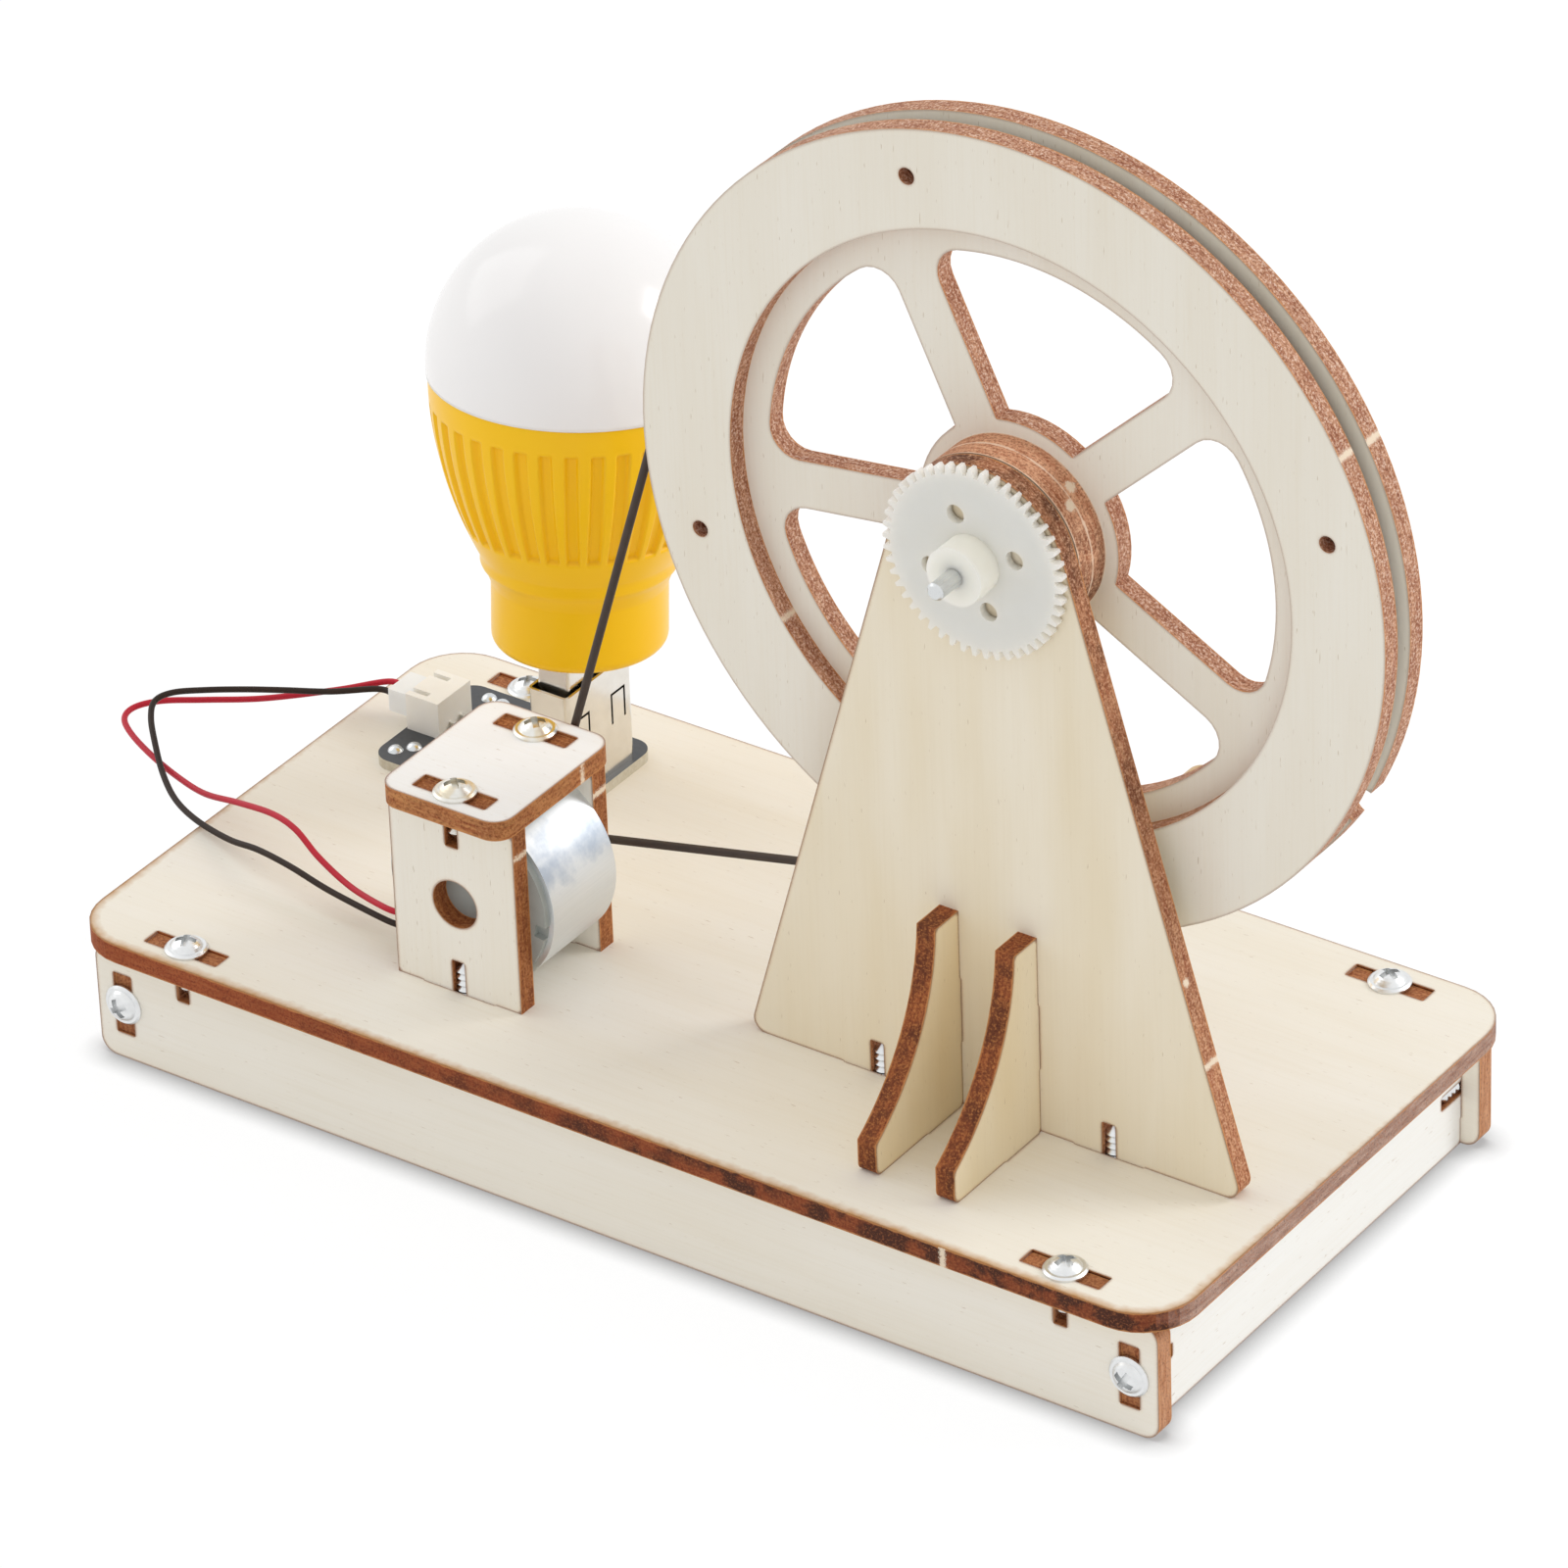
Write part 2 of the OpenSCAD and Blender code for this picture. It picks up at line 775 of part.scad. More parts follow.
// Outline of one opening between two spokes, drawn around the direction 0
function opening_outline() =
    let (half = spoke_w / 2,
        v = half + opening_corner,
        rc = opening_r - opening_corner,
        off = 36 - asin(v / rc),
        hub_off = 36 - asin(half / hub_r))
    concat(
        arc(0, 0, opening_r, -off, off, 24),
        arc(rc * cos(off), rc * sin(off), opening_corner, off, 126, 6),
        arc(0, 0, hub_r, hub_off, -hub_off, 8),
        arc(rc * cos(off), -rc * sin(off), opening_corner, -126, -off, 6));

module spoked_disc() {
    color("navajowhite")
        layer(disc_y, ply)
            difference() {
                circle(disc_r, $fn = 160);
                for (i = [0:4])
                    rotate(spoke_turn + 36 + 72 * i)
                        polygon(opening_outline());
                circle(axle_r);
                ring_holes();
            }
}

module rear_ring() {
    color("moccasin")
        layer(rear_y, ply)
            difference() {
                circle(ring_r, $fn = 160);
                circle(ring_inner, $fn = 160);
                ring_holes();
                rotate(notch_turn)
                    translate([ring_r, 0])
                        circle(notch_r);
            }
}

// A hub disc between the support and the spoked disc
module hub_layer(y0) {
    layer(y0, ply)
        difference() {
            circle(head_r, $fn = 96);
            circle(axle_r);
        }
}

module front_hub_disc() {
    color("peru")
        hub_layer(hub_y);
}

module rear_hub_disc() {
    color("sienna")
        hub_layer(ring_y);
}

module axle() {
    color("gainsboro")
        translate([axis_x, axle_back, axis_z])
            rotate([90, 0, 0])
                rotate_extrude()
                    polygon([[0, 0], [axle_r, 0], [axle_r, axle_len - axle_edge],
                        [axle_r - axle_edge, axle_len], [0, axle_len]]);
}

// Outline of the gear's teeth
function gear_outline() =
    let (step = 360 / gear_teeth)
    [for (i = [0:gear_teeth - 1], k = [[-0.32, 0], [-0.14, 1], [0.14, 1], [0.32, 0]])
        let (a = (i + k[0]) * step, r = gear_r - tooth_h * (1 - k[1]))
        [r * cos(a), r * sin(a)]];

module retaining_gear() {
    color("ivory")
        difference() {
            union() {
                layer(gear_y, gear_t)
                    difference() {
                        polygon(gear_outline());
                        for (i = [0:3])
                            rotate(20 + 90 * i)
                                translate([gear_hole_at, 0])
                                    circle(gear_hole_r);
                    }
                rod(axis_x, gear_y - boss_len, axis_z, boss_r, boss_len + 1);
            }
            rod(axis_x, gear_y - boss_len - cut, axis_z, axle_r, boss_len + gear_t + 2 * cut);
        }
}

module ring_screws() {
    color("silver")
        for (i = [0:2])
            translate([axis_x, wheel_back, axis_z])
                rotate([-90, 0, 0])
                    rotate([0, 0, -ring_turn - 90 * i])
                        translate([ring_screw_r, 0, 0])
                            screw(crest = ring_thread_r);
}

module crank_screw() {
    color("silver")
        translate([crank_px, wheel_back + crank_len, crank_pz])
            rotate([-90, 0, 0])
                screw(screw_len, crank_len, ring_thread_r);
}

module crank_knob() {
    color("tan")
        translate([crank_px, wheel_back + knob_play, crank_pz])
            rotate([-90, 0, 0])
                difference() {
                    rotate_extrude()
                        polygon([[0, 0], [knob_r - 1, 0], [knob_r, 1], [knob_r, knob_len - 1],
                            [knob_r - 1, knob_len], [0, knob_len]]);
                    translate([0, 0, -cut])
                        cylinder(r = crank_r + run_play, h = knob_len + 2 * cut);
                }
}

// Outline of a motor box plate with a tab and a slot at each end
module plate_outline() {
    difference() {
        union() {
            translate([-box_w / 2, 0])
                square([box_w, box_h]);
            translate([-box_tab / 2, -ply])
                square([box_tab, box_h + 2 * ply - tab_sink]);
        }
        screw_slot(-ply - cut, slot_depth);
        screw_slot(box_h - slot_depth, box_h + ply + cut);
    }
}

// Puts its children at the screws through the motor box's top plate
module at_top_screws(planes = [front_mid, rear_mid]) {
    for (py = planes)
        translate([motor_x, py, box_top + ply])
            children();
}

// Puts its children at the screws that hold the motor box from below
module at_base_screws(planes = [front_mid, rear_mid]) {
    for (py = planes)
        translate([motor_x, py, board_z])
            rotate([180, 0, 0])
                children();
}

// A plate of the motor box with the bores that its two screws cut
module box_plate(plane) {
    difference() {
        translate([motor_x, 0, top_z])
            upright(plane)
                plate_outline();
        at_top_screws([plane])
            tapped();
        at_base_screws([plane])
            tapped();
    }
}

module motor_front_plate() {
    color("wheat")
        difference() {
            box_plate(front_mid);
            rod(motor_x, cap_front - ply - cut, motor_z, peep_r, ply + 2 * cut);
        }
}

module motor_rear_plate() {
    color("wheat")
        difference() {
            box_plate(rear_mid);
            rod(motor_x, can_back - cut, motor_z, can_boss, ply + 2 * cut);
        }
}

module motor_top_plate() {
    color("burlywood")
        translate([motor_x, (front_mid + rear_mid) / 2, box_top])
            linear_extrude(ply)
                difference() {
                    polygon(round_rect(box_w, motor_len + 2 * ply + 2 * box_lip, box_corner));
                    for (sy = [-1, 1])
                        translate([0, sy * (motor_len + ply) / 2])
                            centred(box_tab + 2 * tab_play, ply + 2 * tab_play);
                }
}

module motor_top_screws() {
    color("silver")
        at_top_screws()
            screw();
}

module motor_base_screws() {
    color("silver")
        at_base_screws()
            screw();
}

module motor_can() {
    color("lightgray")
        difference() {
            union() {
                rod(motor_x, cap_front + can_rim, motor_z, can_r, motor_len - can_rim);
                rod(motor_x, can_back - can_wall, motor_z, can_boss, can_wall + boss_proud);
            }
            rod(motor_x, cap_front, motor_z, can_inner, motor_len - can_wall);
            rod(motor_x, can_back - 2, motor_z, motor_shaft_r + run_play, 5);
            translate([motor_x - can_r - cut, cap_front + can_rim - cut, tab_black - tab_room])
                cube([can_r + cut - tab_chord / 2, 2 * tab_room + cut, tab_gap + 2 * tab_room]);
        }
}

module motor_end_cap() {
    color("gray")
        difference() {
            rod(motor_x, cap_front, motor_z, can_inner, cap_t);
            rod(motor_x, cap_front + 0.8, motor_z, motor_shaft_r + run_play, cap_t);
            for (a = [10, 190])
                translate([motor_x, cap_front - cut, motor_z])
                    rotate([0, a, 0])
                        translate([can_inner - 1.6, 0, -1])
                            cube([2, can_rim + cut, 2]);
        }
}

module motor_magnets() {
    color("dimgray")
        for (a = [55, 235])
            translate([motor_x, rotor_mid + rotor_len / 2 + magnet_more, motor_z])
                rotate([90, 0, 0])
                    rotate([0, 0, a])
                        rotate_extrude(angle = 70)
                            translate([magnet_inner, 0])
                                square([magnet_t, rotor_len + 2 * magnet_more]);
}

module motor_armature() {
    color("slategray")
        translate([motor_x, rotor_mid + rotor_len / 2, motor_z])
            rotate([90, 0, 0])
                linear_extrude(rotor_len)
                    difference() {
                        union() {
                            circle(rotor_hub);
                            for (i = [0:2])
                                rotate(120 * i)
                                    translate([motor_shaft_r, -rotor_arm / 2])
                                        square([rotor_r - rotor_shoe / 2 - motor_shaft_r, rotor_arm]);
                            for (i = [0:2])
                                rotate(120 * i)
                                    intersection() {
                                        difference() {
                                            circle(rotor_r);
                                            circle(rotor_r - rotor_shoe);
                                        }
                                        polygon([[0, 0], [can_r, -0.8 * can_r], [can_r, 0.8 * can_r]]);
                                    }
                        }
                        circle(motor_shaft_r);
                    }
}

module motor_coils() {
    color("darkorange")
        translate([motor_x, rotor_mid, motor_z])
            rotate([90, 0, 0])
                for (i = [0:2])
                    rotate([0, 0, 120 * i])
                        difference() {
                            translate([coil_low, -coil_w / 2, -rotor_len / 2 - coil_end])
                                cube([coil_high - coil_low, coil_w, rotor_len + 2 * coil_end]);
                            translate([0, -rotor_arm / 2, -rotor_len / 2])
                                cube([rotor_r, rotor_arm, rotor_len]);
                        }
}

module motor_shaft() {
    color("gainsboro")
        rod(motor_x, cap_front + 1, motor_z, motor_shaft_r, belt_y + pulley_len / 2 + 0.4 - cap_front - 1);
}

module motor_terminals() {
    color("goldenrod")
        for (pz = [tab_red, tab_black])
            translate([tab_end, tab_y - tab_w / 2, pz - tab_t / 2])
                cube([tab_out + tab_in, tab_w, tab_t]);
}

module drive_pulley() {
    color("white")
        translate([motor_x, belt_y - pulley_len / 2, motor_z])
            rotate([-90, 0, 0])
                rotate_extrude()
                    polygon([[motor_shaft_r, 0], [pulley_r, 0], [pulley_r, 0.5], [groove_r, 0.6],
                        [groove_r, pulley_len - 0.6], [pulley_r, pulley_len - 0.5], [pulley_r, pulley_len],
                        [motor_shaft_r, pulley_len]]);
}

// Rings of the belt: direction, centre and radius of each, round the flywheel and then the pulley
function belt_rings() = concat(
    [for (i = [0:44]) [belt_dir + belt_lap + (360 - 2 * belt_lap) * i / 44, axis_x, axis_z, belt_wheel]],
    [for (i = [0:7]) [belt_dir - belt_lap + 2 * belt_lap * i / 7, motor_x, motor_z, belt_motor]]);

module drive_belt() {
    rings = belt_rings();
    n = len(rings);
    points = [for (g = rings, k = [0:9])
        let (out = g[3] + belt_r * cos(36 * k))
        [g[1] + out * cos(g[0]), belt_y + belt_r * sin(36 * k), g[2] + out * sin(g[0])]];
    faces = [for (i = [0:n - 1], k = [0:9], m = [0:1])
        let (j = (i + 1) % n, k2 = (k + 1) % 10)
        m == 0 ? [10 * i + k, 10 * i + k2, 10 * j + k] : [10 * i + k2, 10 * j + k2, 10 * j + k]];
    color("black")
        polyhedron(points, faces);
}

module circuit_board() {
    color("darkslategray")
        translate([pcb_x, pcb_y, top_z])
            linear_extrude(pcb_t)
                polygon(round_rect(pcb_len, pcb_wid, 3));
}

module solder_joints() {
    color("lightsteelblue")
        for (p = [[2.3, 3], [4.1, 5], [5.4, 21.2], [7.9, 20.9]])
            translate([pcb_x - pcb_len / 2 + p[0], pcb_y - pcb_wid / 2 + p[1], pcb_top])
                intersection() {
                    translate([0, 0, -0.6])
                        sphere(1.3, $fn = 32);
                    cylinder(r = 2, h = 2);
                }
}

module wire_socket() {
    color("linen")
        difference() {
            translate([sock_x0, sock_y - sock_w / 2, pcb_top])
                cube([sock_x1 - sock_x0, sock_w, sock_h]);
            translate([sock_x0 - cut, sock_y - wplug_w / 2 - 0.2, plug_z])
                cube([wplug_x1 - sock_x0 + cut, wplug_w + 0.4, wplug_h + 0.2]);
            for (sy = [-1, 1])
                translate([wplug_x1 - cut, sock_y + sy * wire_gap / 2 - 0.3, plug_z])
                    cube([4, 0.6, 0.6]);
            for (sy = [-1, 1])
                translate([sock_x0 - cut, sock_y + sy * 2.4 - 0.45, plug_z + wplug_h - cut])
                    cube([3.6, 0.9, 4]);
        }
}

module socket_pins() {
    color("white")
        for (sy = [-1, 1])
            translate([wplug_x1, sock_y + sy * wire_gap / 2 - 0.3, pcb_top])
                union() {
                    translate([0, 0, plug_z - pcb_top])
                        cube([sock_x1 - wplug_x1 + 0.9, 0.6, 0.6]);
                    translate([sock_x1 - wplug_x1 + 0.3, 0, 0])
                        cube([0.6, 0.6, plug_z - pcb_top + 0.6]);
                }
}

module wire_plug() {
    color("aliceblue")
        translate([wplug_x0, sock_y - wplug_w / 2, plug_z])
            cube([wplug_x1 - wplug_x0, wplug_w, wplug_h]);
}

module usb_socket_shell() {
    color("whitesmoke")
        translate([usb_x, usb_y, pcb_top])
            difference() {
                linear_extrude(usb_h)
                    polygon(round_rect(usb_t, usb_w, 0.9));
                translate([0, 0, -cut])
                    linear_extrude(usb_h + 2 * cut)
                        polygon(round_rect(usb_t - 2 * usb_wall, usb_w - 2 * usb_wall, 0.4));
                for (sy = [-1, 1], k = [-1, 1])
                    translate([0, sy * spring_y + k * (spring_w - spring_cut) / 2, spring_low])
                        translate([-usb_t, -spring_cut / 2, 0])
                            cube([2 * usb_t, spring_cut, spring_high - spring_low]);
                for (sy = [-1, 1])
                    translate([-usb_t, sy * spring_y - spring_w / 2, spring_high - spring_cut])
                        cube([2 * usb_t, spring_w, spring_cut]);
            }
}

module usb_socket_insert() {
    color("ivory")
        translate([usb_x, usb_y, pcb_top])
            union() {
                linear_extrude(insert_top - pcb_top)
                    polygon(round_rect(usb_t - 2 * (usb_wall + insert_air), usb_w - 2 * (usb_wall + insert_air), 0.4));
                translate([tongue_x - tongue_t / 2, -tongue_w / 2, 0])
                    cube([tongue_t, tongue_w, tongue_top]);
            }
}

// Places the lamp's pieces on its leaning axis, from the plane of the collar's foot
module on_lamp() {
    translate([usb_x, usb_y, lean_z])
        rotate([-lamp_lean_y, lamp_lean_x, 0])
            translate([0, 0, collar_s])
                children();
}

module usb_plug_shell() {
    color("whitesmoke")
        on_lamp()
            translate([0, 0, -plug_in - plug_out])
                difference() {
                    linear_extrude(plug_in + plug_out)
                        polygon(round_rect(plug_t, plug_w, 0.5));
                    translate([0, 0, -cut])
                        linear_extrude(plug_in + plug_out + 2 * cut)
                            polygon(round_rect(plug_t - 2 * plug_wall, plug_w - 2 * plug_wall, 0.2));
                    for (sy = [-1, 1])
                        translate([-plug_t, sy * 2.9 - 1, plug_in - 3.4])
                            cube([2 * plug_t, 2, 2]);
                }
}

module usb_plug_insert() {
    color("gainsboro")
        on_lamp()
            translate([plug_wall - plug_t / 2, plug_wall - plug_w / 2, -plug_in - plug_out])
                union() {
                    translate([0, 0.2, 0.4])
                        cube([plug_block, plug_w - 2 * plug_wall - 0.4, plug_in + plug_out - 0.4]);
                    translate([0, 0.2, plug_in + 1.2])
                        cube([plug_t - 2 * plug_wall, plug_w - 2 * plug_wall - 0.4, plug_out - 1.2]);
                }
}

// Radius of the lamp's flare at a height: steep above the neck and upright at the rim
function flare_at(h) =
    let (t = (h - flare_s) / (body_h - flare_s))
    neck_r + (rim_r - neck_r) * (1 - (1 - t) * (1 - t));

// Half section of the lamp's body: collar, step and flare outside, a cup inside
function lamp_half() = concat(
    [[0, 0]],
    arc(collar_r - collar_round, collar_round, collar_round, 270, 360, 4),
    [[collar_r, collar_h - 0.6], [collar_r + 0.3, collar_h], [neck_r - 0.4, step_s - 0.5], [neck_r, step_s]],
    [for (i = [0:10]) let (h = flare_s + (body_h - flare_s) * i / 10) [flare_at(h), h]],
    [[cup_r, body_h], [cup_r, body_h - cup_depth]],
    [[ledge_r, ledge_s + cup_wall], [ledge_r, ledge_s], [0, ledge_s]]);

// Section of one slot, at an even depth under the flare
function slot_half() = concat(
    [for (i = [0:5]) let (h = slot_low + (slot_high - slot_low) * i / 5) [flare_at(h) - lamp_slot_d, h]],
    [[rim_r + lamp_slot_d, slot_high], [rim_r + lamp_slot_d, slot_low]]);

module lamp_body() {
    color("gold")
        on_lamp()
            difference() {
                rotate_extrude($fn = 96)
                    polygon(lamp_half());
                for (i = [0:slot_count - 1])
                    rotate([90, 0, (i + 0.5) * 360 / slot_count])
                        translate([0, 0, -lamp_slot_w / 2])
                            linear_extrude(lamp_slot_w)
                                polygon(slot_half());
            }
}

module led_plate() {
    color("lightgray")
        on_lamp()
            translate([0, 0, ledge_s])
                union() {
                    cylinder(r = ledge_r - 0.6, h = plate_t);
                    for (i = [0:5])
                        rotate([0, 0, 60 * i])
                            translate([0.6 * ledge_r - chip_w / 2, -chip_w / 2, plate_t / 2])
                                cube([chip_w, chip_w, plate_t]);
                }
}

// Half section of the lamp's dome: a thin globe that stands on the body's rim
function globe_half() =
    let (low = asin((body_h - globe_s) / globe_r),
        inner = globe_r - globe_t,
        low_in = asin((body_h - globe_s) / inner))
    concat(
        [[inner * cos(low_in), body_h], [globe_r * cos(low), body_h]],
        [for (i = [1:20]) let (a = low + (90 - low) * i / 21)
            [globe_r * cos(a), globe_s + globe_r * sin(a)]],
        [[0, globe_s + globe_r], [0, globe_s + inner]],
        [for (i = [1:16]) let (a = 90 - (90 - low_in) * i / 17)
            [inner * cos(a), globe_s + inner * sin(a)]]);

module lamp_dome() {
    color("white")
        on_lamp()
            rotate_extrude($fn = 96)
                polygon(globe_half());
}

// A smooth point between two route points, from those before and after them
function smooth(p, i, t) =
    let (n = len(p) - 1,
        a = p[max(i - 1, 0)],
        b = p[i],
        c = p[min(i + 1, n)],
        d = p[min(i + 2, n)])
    0.5 * (2 * b + (c - a) * t + (2 * a - 5 * b + 4 * c - d) * t * t + (3 * b - a - 3 * c + d) * t * t * t);

// The route with one more point between each two
function finer(p) = concat(
    [for (i = [0:len(p) - 2], k = [0:1]) smooth(p, i, k / 2)],
    [p[len(p) - 1]]);

// Direction of the route at a point; the ends stand square to what they meet
function along(q, i) =
    let (n = len(q) - 1,
        v = i == 0 ? [-1, 0, 0] : i == n ? [1, 0, 0] : q[i + 1] - q[i - 1])
    v / norm(v);

// A tube of eight sides along a route
module tube(p, r) {
    q = finer(p);
    n = len(q);
    points = [for (i = [0:n - 1])
        let (t = along(q, i), s = cross([0, 0, 1], t), u = s / norm(s), w = cross(t, u))
        for (k = [0:7]) q[i] + r * cos(45 * k) * u + r * sin(45 * k) * w];
    faces = concat(
        [[for (k = [0:7]) k]],
        [for (i = [0:n - 2], k = [0:7], m = [0:1])
            let (k2 = (k + 1) % 8)
            m == 0 ? [8 * i + k, 8 * i + 8 + k, 8 * i + k2] : [8 * i + k2, 8 * i + 8 + k, 8 * i + 8 + k2]],
        [[for (k = [7:-1:0]) 8 * (n - 1) + k]]);
    polyhedron(points, faces);
}

module red_wire() {
    color("red")
        tube(red_route, wire_r);
}

module black_wire() {
    color("black")
        tube(black_route, wire_r);
}

top_board();
front_panel();
rear_panel();
left_end_panel();
right_end_panel();
board_screws();
corner_screws();
support_frame();
left_gusset();
right_gusset();
support_screws();
front_ring();
spoked_disc();
rear_ring();
front_hub_disc();
rear_hub_disc();
axle();
retaining_gear();
ring_screws();
crank_screw();
crank_knob();
motor_front_plate();
motor_rear_plate();
motor_top_plate();
motor_top_screws();
motor_base_screws();
motor_can();
motor_end_cap();
motor_magnets();
motor_armature();
motor_coils();
motor_shaft();
motor_terminals();
drive_pulley();
drive_belt();
circuit_board();
solder_joints();
wire_socket();
socket_pins();
wire_plug();
usb_socket_shell();
usb_socket_insert();
red_wire();
black_wire();
usb_plug_shell();
usb_plug_insert();
lamp_body();
led_plate();
lamp_dome();
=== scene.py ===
import math

import bmesh
import bpy
import numpy as np
from mathutils import Matrix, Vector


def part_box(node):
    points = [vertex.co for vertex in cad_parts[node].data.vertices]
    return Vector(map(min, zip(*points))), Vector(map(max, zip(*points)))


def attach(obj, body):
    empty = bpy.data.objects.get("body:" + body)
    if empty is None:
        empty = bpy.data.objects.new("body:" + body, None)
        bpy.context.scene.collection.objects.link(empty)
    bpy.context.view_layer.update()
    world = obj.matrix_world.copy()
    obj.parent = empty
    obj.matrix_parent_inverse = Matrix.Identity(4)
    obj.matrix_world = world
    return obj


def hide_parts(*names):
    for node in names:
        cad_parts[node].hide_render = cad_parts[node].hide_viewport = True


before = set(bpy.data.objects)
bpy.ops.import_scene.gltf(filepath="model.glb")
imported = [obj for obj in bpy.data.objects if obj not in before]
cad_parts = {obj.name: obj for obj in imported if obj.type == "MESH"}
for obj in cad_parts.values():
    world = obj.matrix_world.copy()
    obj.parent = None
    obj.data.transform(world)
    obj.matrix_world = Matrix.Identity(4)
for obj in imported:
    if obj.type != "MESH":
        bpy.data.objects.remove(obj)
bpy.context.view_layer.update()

# Camera: a long lens, a pinhole fitted to the straight edges and circles of the photographed model.
# It stands front right and looks down on the base at 32 degrees, with a slight roll.
camera_place = (0.65671, -0.90577, 0.75171)
turn_left, look_down, roll = 35.897, 32.0886, -2.1957
lens = bpy.data.cameras.new("photo_lens")
lens.sensor_width = 36.0
lens.lens = 224.844
camera = bpy.data.objects.new("photo_camera", lens)
bpy.context.scene.collection.objects.link(camera)
camera.matrix_world = (Matrix.Translation(camera_place)
                       @ Matrix.Rotation(math.radians(turn_left), 4, "Z")
                       @ Matrix.Rotation(math.radians(90.0 - look_down), 4, "X")
                       @ Matrix.Rotation(math.radians(roll), 4, "Z"))
bpy.context.scene.camera = camera

# Wires: a red and a black hook-up wire, stranded copper under a soft extruded cover, 0.9 mm thick.
# They leave the plug on the circuit board, loop out past the board's left end and are soldered
# to the motor's tabs. Their routes are in millimetres.
red_route = [
    (-83, 25.3, 25.5), (-86, 25.3, 25.5), (-92, 21, 24.4), (-101, 15.6, 22.9), (-108, 11, 22.8),
    (-113, 7.4, 22.9), (-115.4, 4.2, 22.8), (-115.2, 1.4, 22.5), (-112, -1.2, 22.3), (-106, -4.2, 22.2),
    (-99, -7, 22.3), (-92, -9.8, 23.4), (-84, -12.4, 26), (-76, -14.9, 28.2), (-70.5, -16.7, 28.4),
    (-65, -18.8, 26.8), (-58, -21, 25.6), (-50.18, -23.7, 26.4), (-47.18, -23.7, 26.4)]
black_route = [
    (-83, 22.9, 25.5), (-86, 22.9, 25.5), (-91, 18.4, 25.8), (-96.5, 14.7, 26.2), (-101, 11.4, 26.6),
    (-105.4, 7.9, 26.9), (-108.8, 4.8, 27), (-110, 2.2, 26.6), (-108.6, -0.6, 25.8), (-105.4, -4, 24.6),
    (-101, -8, 22.9), (-96, -11.6, 22.1), (-90, -14.4, 22.1), (-82.5, -16.8, 22.8), (-76, -18.5, 24.2),
    (-69, -20.2, 24.7), (-61, -21.8, 24.3), (-50.18, -23.7, 24.4), (-47.18, -23.7, 24.4)]


def linear(colour):
    """An sRGB hex colour as linear RGBA: c / 12.92 up to 0.04045, else ((c + 0.055) / 1.055) ** 2.4."""
    c = np.array([int(colour[i:i + 2], 16) for i in (1, 3, 5)]) / 255.0
    return (*np.where(c <= 0.04045, c / 12.92, ((c + 0.055) / 1.055) ** 2.4), 1.0)


def new_material(name):
    """An empty node material of that name."""
    material = bpy.data.materials.new(name)
    material.use_nodes = True
    material.node_tree.nodes.clear()
    return material


def add(material, kind, inputs=None, **settings):
    """Adds one shader node: settings go on its properties, and each input, named or numbered, is set,
    or linked where a node (its first live output) or a socket is given."""
    node = material.node_tree.nodes.new("ShaderNode" + kind)
    for name, value in settings.items():
        setattr(node, name, value)
    for key, value in (inputs or {}).items():
        socket = node.inputs[key] if isinstance(key, int) else next(
            s for s in node.inputs if s.name == key and s.enabled)
        if isinstance(value, bpy.types.Node):
            value = next(s for s in value.outputs if s.enabled)
        if isinstance(value, bpy.types.NodeSocket):
            material.node_tree.links.new(value, socket)
        else:
            socket.default_value = value
    return node


def moulded(name, colour, shade, roughness, patch=3.0, peel=0.25, subsurface=0.0, reach=1.5, gleam=0.5):
    """Moulded or extruded plastic: two close tones in soft patches (patch, mm), and a fine skin (peel, mm)
    that breaks up the gloss and is raised by a few hundredths of a millimetre. Where it is milky, light
    spreads as far as reach (mm) under the skin. gleam is the strength of the surface's own reflection."""
    m = new_material(name)
    place = add(m, "TexCoord").outputs["Object"]
    cloud = add(m, "TexNoise", {"Vector": place, "Scale": 1000 / patch, "Detail": 3.0})
    skin = add(m, "TexNoise", {"Vector": place, "Scale": 1000 / peel, "Detail": 2.0})
    tone = add(m, "Mix", {"Factor": cloud, "A": linear(colour), "B": linear(shade)}, data_type="RGBA")
    gloss = add(m, "MapRange", {"Value": skin, "To Min": roughness - 0.05, "To Max": roughness + 0.05})
    relief = add(m, "Bump", {"Height": skin, "Strength": 0.05, "Distance": 0.00003})
    shader = add(m, "BsdfPrincipled", {
        "Base Color": tone, "Roughness": gloss, "Normal": relief, "Specular IOR Level": gleam,
        "Subsurface Weight": subsurface, "Subsurface Radius": (1.0, 0.95, 0.88),
        "Subsurface Scale": reach / 1000})
    add(m, "OutputMaterial", {"Surface": shader})
    return m


def smooth_route(points, steps=8):
    """A Catmull-Rom curve through the points, in metres: between each two, the cubic that leaves along the
    chord of the point before to the point after, taken at equal steps."""
    p = np.array(points, float) / 1000
    e = np.vstack([p[:1], p, p[-1:]])[:, None]
    a, b, c, d = e[:-3], e[1:-2], e[2:-1], e[3:]
    t = (np.arange(steps) / steps)[None, :, None]
    square, cube = 2 * a - 5 * b + 4 * c - d, 3 * b - a - 3 * c + d
    q = 0.5 * (2 * b + (c - a) * t + square * t ** 2 + cube * t ** 3)
    return np.vstack([q.reshape(-1, 3), p[-1:]])


